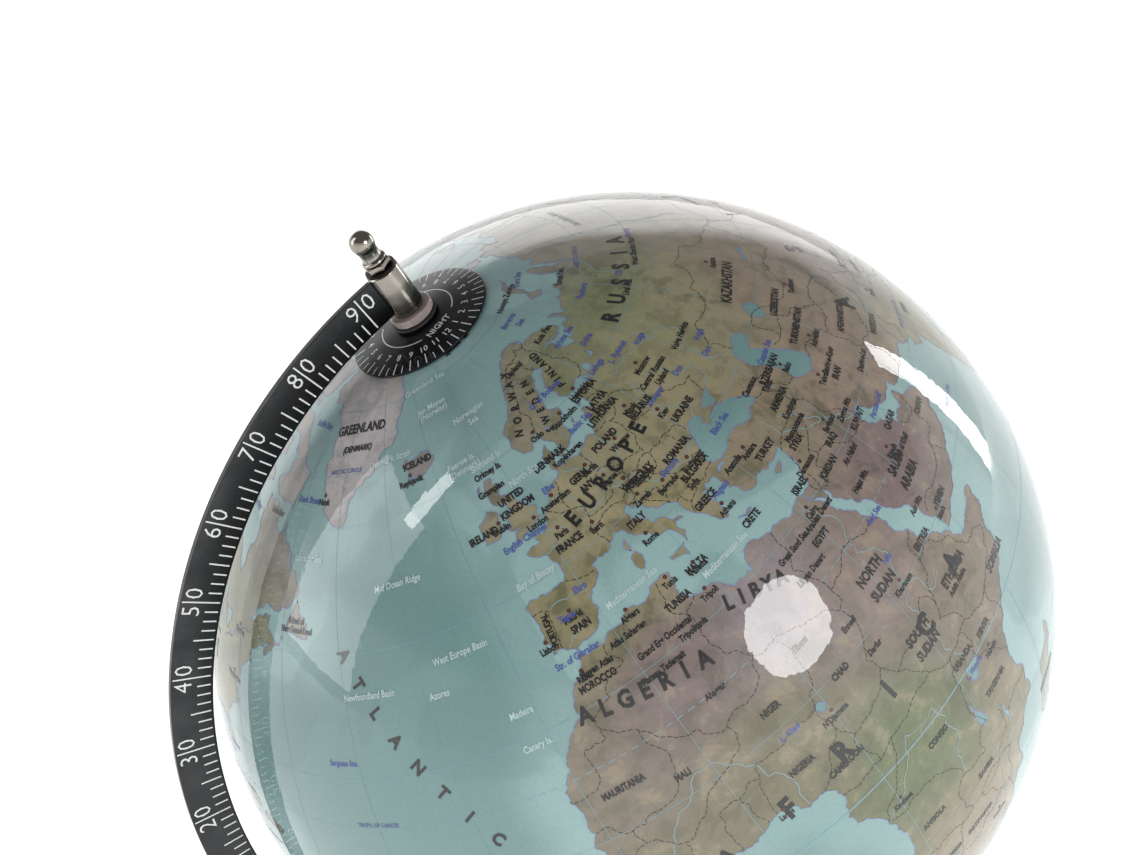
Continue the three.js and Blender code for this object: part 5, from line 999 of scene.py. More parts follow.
@dataclass
class Atlas:
    """The world's coasts, lakes, borders, rivers and hills, ready to draw."""

    step: float = 0.55
    land: list[np.ndarray] = field(default_factory=list)
    water: list[np.ndarray] = field(default_factory=list)
    shell_land: list[np.ndarray] = field(default_factory=list)
    shell_water: list[np.ndarray] = field(default_factory=list)
    borders: list[np.ndarray] = field(default_factory=list)
    rivers: list[np.ndarray] = field(default_factory=list)

    def __post_init__(self) -> None:
        """Reads and roughens every line."""
        self.land = [roughened(places(text), name, self.step) for name, text in LAND.items()]
        self.water = [roughened(places(text), name, self.step) for name, text in WATER.items()]
        self.borders = [roughened(places(t), f"border {i}", 0.7, False) for i, t in enumerate(BORDERS.split(";"))]
        self.rivers = [roughened(places(t), f"river {i}", 0.7, False) for i, t in enumerate(RIVERS.split(";"))]
        self.shell_land, self.shell_water = [leant(r) for r in self.land], [leant(r) for r in self.water]
        ranges = [roughened(places(t), f"range {i}", 1.0, False) for i, t in enumerate(RANGES.split(";"))]
        self.hills = on_ball(*np.concatenate(ranges).T, 1 / MM)
        coast = np.concatenate(self.land)
        self.shore = on_ball(*coast[::2].T, 1 / MM)
        # The second table's tints stay undarkened; they hold painted light and shade where the light falls on the
        # ball.
        tints = [(*entry.split(), depth) for text, depth in ((TINTS, PRINT_DEPTH), (PRINT_AND_PAINTED_LIGHT_TINTS, 1.0))
                 for entry in text.split(";")]
        self.tint_places = on_ball([float(t[0]) for t in tints], [float(t[1]) for t in tints], 1 / MM)
        self.tint_colours = np.array([linear(t[2], t[3])[:3] for t in tints])

    def coasts(self) -> list[np.ndarray]:
        """Gives every shore as a closed line, without the cap's edge at the pole."""
        rings = [np.vstack([ring, ring[:1]]) for ring in self.land + self.water]
        return [ring[np.abs(ring[:, 1]) < 88] for ring in rings]

    def nearest(self, directions: np.ndarray, targets: np.ndarray) -> np.ndarray:
        """Gives the angle in degrees from each direction to the nearest of the targets."""
        best = np.max(directions @ targets.T, axis=1)
        return np.degrees(np.arccos(np.clip(best, -1, 1)))

    def land_colour(self, directions: np.ndarray) -> np.ndarray:
        """Blends the named land tints by how near each one is."""
        near = 1 / (2.0 - 2.0 * np.clip(directions @ self.tint_places.T, -1, 1) + 0.004) ** 2
        return near @ self.tint_colours / near.sum(1, keepdims=True)

    def sea_colour(self, directions: np.ndarray, shallow: np.ndarray, deep: np.ndarray) -> np.ndarray:
        """Deepens the sea's tint away from the shore."""
        depth = smooth(self.nearest(directions, self.shore), 1.0, 9.0)[:, None]
        return shallow * (1 - depth) + deep * depth


@dataclass
class Gore:
    """One printed paper gore: a strip of the map from the equator to a pole."""

    atlas: Atlas
    west: float
    north: bool
    width: float = 30.0
    cell: float = 1.25
    pole_gap: float = 1.0
    shallow: str = "#8DADAB"
    deep: str = "#6C8F8D"

    @property
    def name(self) -> str:
        """Gives the gore's name by hemisphere and number round the ball."""
        return f"{'north' if self.north else 'south'}_gore_{int((self.west + 180) / self.width):02d}"

    def window(self) -> tuple[float, float, float, float]:
        """Gives the gore's west, east, south and north limits in degrees."""
        top = 90 - self.pole_gap
        return self.west, self.west + self.width, 0.0 if self.north else -top, top if self.north else 0.0

    def clipped(self, ring: np.ndarray) -> list[tuple[LonLat, LonLat]]:
        """Gives the pieces of a closed outline that fall inside the gore."""
        west, east, south, north = self.window()
        found = []
        for (ax, ay), (bx, by) in zip(ring, np.roll(ring, -1, axis=0)):
            dx, dy = bx - ax, by - ay
            enter, leave = 0.0, 1.0
            for slope, room in ((-dx, ax - west), (dx, east - ax), (-dy, ay - south), (dy, north - ay)):
                if abs(slope) < 1e-12:
                    if room < 0:
                        leave = -1.0
                elif slope < 0:
                    enter = max(enter, room / slope)
                else:
                    leave = min(leave, room / slope)
            if leave - enter > 1e-6:
                found.append(((ax + dx * enter, ay + dy * enter), (ax + dx * leave, ay + dy * leave)))
        return found

    def rings(self, outlines: list[np.ndarray]) -> list[np.ndarray]:
        """Gives the outlines that reach the gore, moved a whole turn where they cross the date line."""
        west, east, south, north = self.window()
        near = []
        for outline in outlines:
            for turn in (-360.0, 0.0, 360.0):
                ring = outline + np.array([turn, 0.0])
                if ring[:, 0].max() > west and ring[:, 0].min() < east and ring[:, 1].max() > south \
                        and ring[:, 1].min() < north:
                    near.append(ring)
        return near

    def grid(self) -> tuple[list[LonLat], list[tuple[int, int]]]:
        """Lays the plain grid of places, with the gore's edges joined up."""
        west, _, south, north = self.window()
        columns = round(self.width / self.cell)
        rows = round((north - south) / self.cell)
        lons = [west + self.width * i / columns for i in range(columns + 1)]
        lats = [south + (north - south) * j / rows for j in range(rows + 1)]
        spots = [(lon, lat) for lat in lats for lon in lons]
        wide = columns + 1
        edges = [(j * wide + side, (j + 1) * wide + side) for j in range(rows) for side in (0, columns)]
        edges += [(row * wide + i, row * wide + i + 1) for row in (0, rows) for i in range(columns)]
        return spots, edges

    def build(self) -> bpy.types.Object:
        """Cuts the gore along its shores, tints it and wraps it on the ball."""
        land, water = self.rings(self.atlas.shell_land), self.rings(self.atlas.shell_water)
        spots, edges = self.grid()
        for ring in land + water:
            for start, end in self.clipped(ring):
                spots += [start, end]
                edges.append((len(spots) - 2, len(spots) - 1))
        flat, _, faces, *_ = delaunay_2d_cdt([Vector(spot) for spot in spots], edges, [], 0, 1e-6)
        flat_points = np.array([(p.x, p.y) for p in flat])
        triangles = np.array([list(face) for face in faces])
        places3 = on_shell(flat_points[:, 0], flat_points[:, 1], BALL_RADIUS)
        piece = from_points(self.name, places3.tolist(), [], triangles.tolist())
        self.colour(piece, flat_points, triangles, land, water)
        self.unwrap(piece, flat_points)
        smooth_as_ball(piece)
        return piece

    def colour(self, piece: bpy.types.Object, spots: np.ndarray, triangles: np.ndarray,
               land: list[np.ndarray], water: list[np.ndarray]) -> None:
        """Writes each corner's printed tint, and how hilly the ground is there.

        Args:
            piece: The gore's object.
            spots: Longitude and latitude of each point.
            triangles: Points of each face.
            land: Shores of the land that reaches the gore.
            water: Shores of the lakes and inland seas.
        """
        middles = spots[triangles].mean(1)
        dry = np.zeros(len(middles), bool)
        for ring, state in [(r, True) for r in land] + [(r, False) for r in water]:
            close = (middles >= ring.min(0)).all(1) & (middles <= ring.max(0)).all(1)
            hit = np.flatnonzero(close)
            if len(hit):
                dry[hit[inside(middles[hit], ring)]] = state
        directions = on_shell(spots[:, 0], spots[:, 1], 1 / MM)
        dry_tint = self.atlas.land_colour(directions)
        wet_tint = self.atlas.sea_colour(
            directions, np.array(linear(self.shallow)[:3]), np.array(linear(self.deep)[:3]))
        hills = 0.55 + 0.45 * (1 - smooth(self.atlas.nearest(directions, self.atlas.hills), 1.0, 5.0))
        corners = triangles.reshape(-1)
        on_land = np.repeat(dry, 3)[:, None]
        tint = np.where(on_land, dry_tint[corners], wet_tint[corners])
        ground = np.where(on_land[:, 0], hills[corners], 0.0)
        colours = piece.data.attributes.new("tint", "FLOAT_COLOR", "CORNER")
        colours.data.foreach_set("color", np.hstack([tint, np.ones((len(tint), 1))]).astype(np.float32).ravel())
        relief = piece.data.attributes.new("ground", "FLOAT", "CORNER")
        relief.data.foreach_set("value", ground.astype(np.float32))

    def unwrap(self, piece: bpy.types.Object, spots: np.ndarray) -> None:
        """Lays the gore out flat across the whole sheet of its OFBake map."""
        west, east, south, north = self.window()
        layer = piece.data.uv_layers.new(name="OFBake")
        index = np.zeros(len(piece.data.loops), int)
        piece.data.loops.foreach_get("vertex_index", index)
        across = (spots[index, 0] - west) / (east - west)
        up = (spots[index, 1] - south) / (north - south)
        layer.data.foreach_set("uv", (0.01 + 0.98 * np.stack([across, up], 1)).astype(np.float32).ravel())


def smooth_as_ball(piece: bpy.types.Object) -> None:
    """Gives a mesh on the ball the ball's own true normals."""
    points = np.zeros(len(piece.data.vertices) * 3)
    piece.data.vertices.foreach_get("co", points)
    points = points.reshape(-1, 3)
    normals = points / np.linalg.norm(points, axis=1, keepdims=True)
    piece.data.shade_smooth()
    piece.data.normals_split_custom_set_from_vertices(normals.tolist())


@dataclass
class InkSheet:
    """One ink's share of the print, laid as a skin just over the ball."""

    name: str
    finish: Shop
    lift: float
    count: int = 0
    points: list[Any] = field(default_factory=list)
    faces: list[tuple[int, ...]] = field(default_factory=list)

    def add(self, points: np.ndarray, faces: Iterable[Sequence[int]]) -> None:
        """Adds a patch: its directions from the ball's centre and its faces."""
        for face in faces:
            a, b, c = (points[i] for i in list(face)[:3])
            outward = float(np.cross(b - a, c - a) @ a) > 0
            self.faces.append(tuple(self.count + i for i in (face if outward else list(face)[::-1])))
        self.points.append(points)
        self.count += len(points)

    def stroke(self, line: np.ndarray, width_mm: float, dash_mm: float = 0.0, gap_mm: float = 0.0) -> None:
        """Draws a line along longitudes and latitudes.

        Args:
            line: The places that it passes through.
            width_mm: Its width.
            dash_mm: Length of a dash, or zero for an unbroken line.
            gap_mm: Length of the gap between dashes.
        """
        path = on_ball(line[:, 0], line[:, 1], 1 / MM)
        if dash_mm:
            self.dashes(path, width_mm, dash_mm, gap_mm)
            return
        self.ribbon(path, width_mm)

    def dashes(self, path: np.ndarray, width_mm: float, dash_mm: float, gap_mm: float) -> None:
        """Cuts a path into dashes by its length and draws each one."""
        steps = np.linalg.norm(np.diff(path, axis=0), axis=1) * BALL_RADIUS
        run = np.concatenate([[0], np.cumsum(steps)])
        for start in np.arange(0, run[-1], dash_mm + gap_mm):
            stops = np.array([start, min(start + dash_mm, run[-1])])
            self.ribbon(np.stack([np.interp(stops, run, path[:, i]) for i in range(3)], 1), width_mm)

    def ribbon(self, path: np.ndarray, width_mm: float) -> None:
        """Lays a flat ribbon along directions from the ball's centre."""
        if len(path) < 2:
            return
        path = path / np.linalg.norm(path, axis=1, keepdims=True)
        along = np.gradient(path, axis=0)
        side = np.cross(path, along)
        side /= np.maximum(np.linalg.norm(side, axis=1, keepdims=True), 1e-12)
        half = width_mm / 2 / BALL_RADIUS
        both = np.concatenate([path + side * half, path - side * half])
        count = len(path)
        self.add(both, [(i, count + i, count + i + 1, i + 1) for i in range(count - 1)])

    def disc(self, lon: float, lat: float, radius_mm: float, sides: int = 12) -> None:
        """Prints a round spot at a place."""
        east, north, up = frame_at(lon, lat)
        angles = np.linspace(0, math.tau, sides, endpoint=False)
        reach = radius_mm / BALL_RADIUS
        rim = up + (np.outer(np.cos(angles), east) + np.outer(np.sin(angles), north)) * reach
        self.add(rim, [range(sides)])

    def letters(self, text: str, lon: float, lat: float, height_mm: float, style: "Type",
                turn: float = 0.0, shift: tuple[float, float] = (0.0, 0.0)) -> None:
        """Prints words straight across at a place.

        Args:
            text: The words.
            lon: Longitude of their middle.
            lat: Latitude of their middle.
            height_mm: Height of a capital letter.
            style: The type to print in.
            turn: How far the words turn from east towards north, in degrees.
            shift: How far they stand east and north of the place, in millimetres.
        """
        east, north, up = frame_at(lon, lat)
        along = east * math.cos(math.radians(turn)) + north * math.sin(math.radians(turn))
        rise = np.cross(up, along)
        flat, faces = style.outlines(text, height_mm)
        across = (flat[:, :1] + shift[0]) / BALL_RADIUS
        tall = (flat[:, 1:] + shift[1]) / BALL_RADIUS
        self.add(up + across * along + tall * rise, faces)

    def spread(self, text: str, start: LonLat, end: LonLat, height_mm: float, style: "Type") -> None:
        """Prints a word with its letters spaced out between two places.

        Args:
            text: The word.
            start: Place of the first letter.
            end: Place of the last letter.
            height_mm: Height of the letters.
            style: The type to print in.
        """
        for i, letter in enumerate(text):
            if letter == " ":
                continue
            share = i / (len(text) - 1)
            lon = start[0] + (end[0] - start[0]) * share
            lat = start[1] + (end[1] - start[1]) * share
            level = math.cos(math.radians(lat))
            turn = math.degrees(math.atan2(end[1] - start[1], (end[0] - start[0]) * level))
            self.letters(letter, lon, lat, height_mm, style, turn)

    def build(self) -> bpy.types.Object:
        """Makes the ink's mesh with the ball's normals and mounts it."""
        points = np.concatenate(self.points)
        points = points / np.linalg.norm(points, axis=1, keepdims=True) * (BALL_RADIUS + self.lift) * MM
        piece = from_points(self.name, points.tolist(), [], self.faces)
        smooth_as_ball(piece)
        return mount(piece, "ball", self.finish, "map_lacquer", place=AXIS_FRAME)


def frame_at(lon: float, lat: float) -> tuple[np.ndarray, np.ndarray, np.ndarray]:
    """Gives the directions east, north and up at a place on the ball."""
    up = on_ball(lon, lat, 1 / MM)
    east = np.cross(PRINT_LEAN[:, 2], up)
    east /= np.linalg.norm(east)
    return east, np.cross(up, east), up


@dataclass(frozen=True)
class Type:
    """A way of setting words: how bold, how wide and how slanted the letters are."""

    weight: float = 0.0
    slant: float = 0.0
    width: float = 0.9

    def outlines(self, text: str, height_mm: float) -> tuple[np.ndarray, list[tuple[int, ...]]]:
        """Sets words flat about their middle.

        Args:
            text: The words.
            height_mm: Height of a capital letter.

        Returns:
            The outline points in millimetres and the faces between them.
        """
        bpy.ops.object.select_all(action="DESELECT")
        bpy.ops.object.text_add()
        words = bpy.context.active_object
        words.data.body = text
        words.data.size = height_mm / 0.72
        words.data.align_x = "CENTER"
        words.data.align_y = "CENTER"
        words.data.resolution_u = 2
        words.data.offset = self.weight * height_mm
        words.data.shear = self.slant
        bpy.ops.object.convert(target="MESH")
        mesh = bpy.context.active_object.data
        points = np.zeros(len(mesh.vertices) * 3)
        mesh.vertices.foreach_get("co", points)
        faces = [tuple(p.vertices) for p in mesh.polygons]
        bpy.data.objects.remove(bpy.context.active_object)
        flat = points.reshape(-1, 3)[:, :2]
        flat[:, 0] *= self.width
        return flat, faces


@dataclass
class MapBall:
    """The printed ball: its paper gores, and each ink of the print over them."""

    grid_step: float = 15.0
    coast_width: float = 0.28
    river_width: float = 0.3
    border_width: float = 0.22
    town_radius: float = 0.46
    town_edge: float = 0.2
    grid_width: float = 0.16
    equator_width: float = 0.45
    border_dash: tuple[float, float] = (1.5, 0.55)
    circle_dash: tuple[float, float] = (2.4, 1.6)

    def build(self) -> None:
        """Makes and mounts the whole ball."""
        atlas = Atlas()
        for north in (True, False):
            for i in range(12):
                gore = Gore(atlas, -180 + 30.0 * i, north)
                node = "north_hemisphere" if north else "south_hemisphere"
                mount(gore.build(), "ball", Shop.MAP, "map_lacquer", node, place=AXIS_FRAME)
        self.lines(atlas)
        self.towns()
        self.names()

    def lines(self, atlas: Atlas) -> None:
        """Draws the grid, the shores, the rivers and the borders."""
        rivers = InkSheet("map_rivers", Shop.INK_RIVER, 0.06)
        coast = InkSheet("map_coast_lines", Shop.INK_COAST, 0.07)
        for line in atlas.coasts():
            coast.stroke(line, self.coast_width)
        for line in atlas.rivers:
            rivers.stroke(line, self.river_width)
        rivers.build()
        coast.build()
        border = InkSheet("map_borders", Shop.INK_BLACK, 0.08)
        for line in atlas.borders:
            border.stroke(line, self.border_width, *self.border_dash)
        border.build()
        self.graticule().build()

    def graticule(self) -> InkSheet:
        """Draws the grid of meridians and parallels, and the dashed polar circles and tropics."""
        grid = InkSheet("map_grid", Shop.INK_GRID, 0.05)
        climb, round_ball = np.arange(-85.0, 85.01, 1.0), np.arange(-180.0, 180.01, 1.5)
        for lon in np.arange(-180.0, 180.0, self.grid_step):
            grid.stroke(np.stack([np.full_like(climb, lon), climb], 1), self.grid_width)
        for lat in np.arange(-75.0, 76.0, self.grid_step):
            width = self.equator_width if lat == 0 else self.grid_width
            grid.stroke(np.stack([round_ball, np.full_like(round_ball, lat)], 1), width)
        for lat in (POLAR_CIRCLE, TROPIC, -TROPIC, -POLAR_CIRCLE):
            grid.stroke(np.stack([round_ball, np.full_like(round_ball, lat)], 1), 0.25, *self.circle_dash)
        return grid

    def towns(self) -> None:
        """Prints each town's spot with its dark edge."""
        edge = InkSheet("map_town_edges", Shop.INK_BLACK, 0.09)
        spot = InkSheet("map_town_spots", Shop.INK_TOWN, 0.11)
        for entry in NAMES["town"].split(";"):
            lon, lat = (float(word) for word in entry.split()[:2])
            edge.disc(lon, lat, self.town_radius + self.town_edge)
            spot.disc(lon, lat, self.town_radius)
        edge.build()
        spot.build()

    def names(self) -> None:
        """Prints the names of places, each kind in its own type and ink."""
        black = InkSheet("map_names_black", Shop.INK_BLACK, 0.12)
        blue = InkSheet("map_names_blue", Shop.INK_BLUE, 0.12)
        pale = InkSheet("map_names_pale", Shop.INK_PALE, 0.12)
        kinds = {
            "great": (black, 3.4, Type(0.05, 0.0, 0.72), (0.0, 0.0)),
            "country": (black, 2.35, Type(0.06, 0.0, 0.74), (0.0, 0.0)),
            "town": (black, 2.1, Type(0.05, 0.0, 0.76), (0.0, -2.3)),
            "region": (black, 2.15, Type(0.05, 0.15, 0.74), (0.0, 0.0)),
            "water": (blue, 2.15, Type(0.03, 0.1, 0.78), (0.0, 0.0)),
            "sea": (pale, 2.2, Type(0.03, 0.15, 0.8), (0.0, 0.0)),
        }
        for kind, (sheet, height, style, shift) in kinds.items():
            for entry in NAMES[kind].split(";"):
                lon, lat, text = entry.split(maxsplit=2)
                sheet.letters(" ".join(text.split()), float(lon), float(lat), height, style, 0.0, shift)
        for entry in SPREAD_NAMES.split(";"):
            words = entry.split(maxsplit=5)
            west, south, east, north, height = (float(word) for word in words[:5])
            black.spread(words[5].strip(), (west, south), (east, north), height, Type(0.055, 0.0, 0.85))
        for lat, name in ((POLAR_CIRCLE, "ARCTIC CIRCLE"), (TROPIC, "TROPIC OF CANCER"), (0.0, "EQUATOR"),
                          (-TROPIC, "TROPIC OF CAPRICORN"), (-POLAR_CIRCLE, "ANTARCTIC CIRCLE")):
            for lon in (-45.0, -150.0, 75.0, 150.0):
                blue.letters(name, lon, lat, 1.5, Type(0.01), 0.0, (0.0, 1.4))
        for sheet in (black, blue, pale):
            sheet.build()


# ---------------------------------------------------------------------------------------------
# Meridian, pivots, dial and stand
# ---------------------------------------------------------------------------------------------


@dataclass
class FlatPrint:
    """Filled cuts or print on a flat or domed face: strokes and letters as thin skins."""

    name: str
    finish: Shop
    place_point: Callable[[float, float], Vector]
    outward: Vector | None = None
    points: list[Vector] = field(default_factory=list)
    faces: list[tuple[int, ...]] = field(default_factory=list)

    def add(self, flat: Iterable[tuple[float, float]], faces: Iterable[Sequence[int]]) -> None:
        """Adds a patch given in millimetres on the face."""
        start = len(self.points)
        self.points += [self.place_point(x, y) for x, y in flat]
        for face in faces:
            loop = [start + i for i in face]
            a, b, c = (self.points[i] for i in loop[:3])
            outward = (b - a).cross(c - a).dot(self.outward or a) > 0
            self.faces.append(tuple(loop if outward else loop[::-1]))

    def bar(self, start: tuple[float, float], end: tuple[float, float], width: float, parts: int = 1) -> None:
        """Adds a straight stroke between two points on the face.

        Args:
            start: First point in millimetres.
            end: Last point in millimetres.
            width: The stroke's width.
            parts: Quads along it, where the face is curved.
        """
        run = Vector((end[0] - start[0], end[1] - start[1]))
        side = Vector((-run.y, run.x)).normalized() * width / 2
        shares = [i / parts for i in range(parts + 1)]
        middle = [Vector(start) + run * share for share in shares]
        flat = [tuple(p + side) for p in middle] + [tuple(p - side) for p in middle]
        self.add(flat, [(i, parts + 1 + i, parts + 2 + i, i + 1) for i in range(parts)])

    def words(self, text: str, middle: tuple[float, float], up: float, height: float, style: Type) -> None:
        """Adds words about a middle, with their tops towards an angle in degrees."""
        flat, faces = style.outlines(text, height)
        turn = math.radians(up - 90)
        cos, sin = math.cos(turn), math.sin(turn)
        self.add([(middle[0] + x * cos - y * sin, middle[1] + x * sin + y * cos) for x, y in flat], faces)

    def build(self, body: str, slot: str) -> bpy.types.Object:
        """Makes and mounts the print, facing away from what it is printed on."""
        piece = from_points(self.name, self.points, [], self.faces)
        return mount(piece, body, self.finish, slot, place=AXIS_FRAME)


@dataclass
class Meridian:
    """The flat half ring beside the ball, with its degree scale cut and filled white."""

    inner: float = 157.4
    outer: float = 172.0
    thickness: float = 2.5
    end_gap: float = 5.7
    edge_round: float = 0.35
    inner_chamfer: float = 1.0
    first_line: float = 4.37
    decade: float = 9.514
    digit_height: float = 6.3
    long_tick: float = 7.0
    short_tick: float = 4.6
    cut_width: float = 0.5
    cut_lift: float = 0.02
    lines: int = 19
    line_inset: float = 0.6
    number_inset: float = 4.5
    spread_inset: float = 4.6
    steps: int = 240

    def build(self) -> None:
        """Makes the plate and its scale."""
        self.plate()
        self.scale()

    def section(self) -> list[tuple[float, float]]:
        """Gives the bar's cross section as radius and depth, clockwise from its inner edge."""
        half, edge, chamfer = self.thickness / 2, self.edge_round, self.inner_chamfer
        front = [(self.inner, -half + edge), (self.inner + chamfer * 0.3, -half + edge * 0.35),
                 (self.inner + chamfer, -half), (self.outer - edge, -half),
                 (self.outer - edge * 0.3, -half + edge * 0.3), (self.outer, -half + edge)]
        return front + [(radius, -depth) for radius, depth in reversed(front)]

    def plate(self) -> None:
        """Spins the bar's section half way round the ball and closes both ends."""
        start = math.asin(self.end_gap / self.outer)
        outline = self.section()
        points = [(-r * math.sin(start) * MM, y * MM, r * math.cos(start) * MM) for r, y in outline]
        count = len(points)
        piece = from_points("meridian_plate", points, [(i, (i + 1) % count) for i in range(count)])
        bpy.ops.object.mode_set(mode="EDIT")
        bpy.ops.mesh.select_all(action="SELECT")
        bpy.ops.mesh.spin(steps=self.steps, angle=math.pi - 2 * start, center=(0, 0, 0), axis=(0, 1, 0))
        bpy.ops.object.mode_set(mode="OBJECT")
        close_and_turn_out(piece)
        rounded(piece, 0.0, 20)
        mount(piece, "stand", Shop.BLACK_NICKEL, "black_nickel", "meridian", place=AXIS_FRAME)

    def on_face(self, x: float, z: float) -> Vector:
        """Puts a point of the ring's plane on its front face."""
        return Vector((x, -self.thickness / 2 - self.cut_lift, z)) * MM

    def polar(self, angle: float, radius: float) -> tuple[float, float]:
        """Gives a point by its angle in degrees from the north pole and its distance from the centre."""
        return -radius * math.sin(math.radians(angle)), radius * math.cos(math.radians(angle))

    def scale(self) -> None:
        """Cuts a full line and its number at every ten degrees and seven ticks between them."""
        cut = FlatPrint("meridian_scale", Shop.CUT_WHITE, self.on_face, Vector((0, -1, 0)))
        inside_edge = self.inner + self.inner_chamfer
        style = Type(-0.012, 0.0, 0.95)
        spread_angle = math.degrees(self.digit_height * 0.5 / (self.outer - self.spread_inset))
        for k in range(self.lines):
            angle = self.first_line + self.decade * k
            cut.bar(self.polar(angle, inside_edge), self.polar(angle, self.outer - self.line_inset), self.cut_width)
            number = str(abs(90 - 10 * k))
            for side, digit in zip((1, -1), number):
                at = angle + side * spread_angle
                middle = self.polar(at, self.outer - self.number_inset)
                cut.words(digit, middle, math.degrees(math.atan2(middle[1], middle[0])), self.digit_height, style)
            if k == self.lines - 1:
                continue
            for tick in range(1, 8):
                reach = self.long_tick if tick == 4 else self.short_tick
                at = angle + self.decade * tick / 8
                cut.bar(self.polar(at, inside_edge), self.polar(at, inside_edge + reach), self.cut_width)
        cut.build("stand", "black_nickel")


@dataclass
class Pivot:
    """Everything stacked on one end of the axis, from the rubber washer out to the finial."""

    pole: str
    place: Matrix
    bore: float = 2.65
    rubber: tuple[float, float, float] = (8.0, 151.4, 152.6)
    clear: tuple[float, float, float] = (7.4, 152.7, 155.7)
    barrel: tuple[float, float, float] = (5.6, 155.8, 173.0)
    lock: tuple[float, float, float] = (5.3, 173.1, 173.8)
    nut: tuple[float, float, float] = (8.0, 173.9, 176.2)
    finial_bottom: float = 176.3
    finial_length: float = 12.2
    bead: tuple[float, float] = (4.2, 1.8)
    neck: float = 3.3
    ball: float = 4.05
    egg: float = 1.25

    def fit(self, piece: bpy.types.Object, finish: Shop, slot: str) -> None:
        """Mounts a piece of the stack in place of the frame's node of the same name."""
        mount(piece, "stand", finish, slot, piece.name.removesuffix("_piece"), place=self.place)

    def build(self) -> None:
        """Makes the stack from the ball outwards."""
        radius, low, high = self.rubber
        self.fit(turned(f"{self.pole}_rubber_washer_piece", [
            (self.bore, low), (radius - 0.3, low), *arc(radius - 0.6, (low + high) / 2, 0.6, -70, 70, 8),
            (radius - 0.3, high), (self.bore, high)], 96, 0.0), Shop.RUBBER, "black_rubber")
        self.clear_washer()
        self.barrel_piece()
        radius, low, high = self.lock
        self.fit(turned(f"{self.pole}_lock_washer_piece", [
            (self.bore, low), (radius, low), (radius, high), (self.bore, high)], 96, 0.12),
            Shop.BLUED, "blued_steel")
        self.nut_piece()
        self.finial_piece()

    def clear_washer(self) -> None:
        """Turns the clear spacer with its polished round edges."""
        radius, low, high = self.clear
        edge = 0.6
        outline = [(self.bore, low), *arc(radius - edge, low + edge, edge, -90, 0, 6),
                   *arc(radius - edge, high - edge, edge, 0, 90, 6), (self.bore, high)]
        self.fit(turned(f"{self.pole}_clear_washer_piece", outline, 128, 0.0), Shop.ACRYLIC, "clear_plastic")

    def barrel_piece(self) -> None:
        """Turns the sleeve that clamps the meridian's end, with chamfered rims."""
        radius, low, high = self.barrel
        rim = 0.4
        outline = [(self.bore, low), (radius - rim, low), (radius, low + rim), (radius, high - rim),
                   (radius - rim, high), (self.bore, high)]
        self.fit(turned(f"{self.pole}_pivot_barrel_piece", outline, 128, 0.12), Shop.BRIGHT_NICKEL, "bright_nickel")

    def nut_piece(self) -> None:
        """Shapes the hexagon nut and chamfers the corners of its top."""
        flats, low, high = self.nut
        corner = flats / math.sqrt(3)
        skirt = turned("nut_skirt", [(0, low), (corner + 0.1, low), (corner + 0.1, high - 0.35),
                                     (flats / 2 - 0.1, high), (0, high)], 96, 0.0)
        nut = carved(hexagon(f"{self.pole}_hex_nut_piece", flats, low, high), skirt, "INTERSECT")
        self.fit(rounded(nut, 0.14), Shop.BRIGHT_NICKEL, "bright_nickel")

    def finial_piece(self) -> None:
        """Turns the bead, the neck and the egg-shaped ball in one piece."""
        low = self.finial_bottom
        bead_radius, bead_height = self.bead
        bead_round = bead_height / 2
        centre = low + self.finial_length - self.ball
        outline = [(0, low), *arc(bead_radius - bead_round, low + bead_round, bead_round, -85, 85, 12),
                   (self.neck + 0.15, low + bead_height + 0.02), (self.neck, low + bead_height + 0.25),
                   (self.neck, low + bead_height + 0.7),
                   *[(r, centre + (z - centre) * (self.egg if z < centre else 1.0))
                     for r, z in arc(0, centre, self.ball, -35, 84, 28)], (0, low + self.finial_length)]
        self.fit(turned(f"{self.pole}_finial_piece", outline, 128, 0.0), Shop.BRIGHT_NICKEL, "bright_nickel")


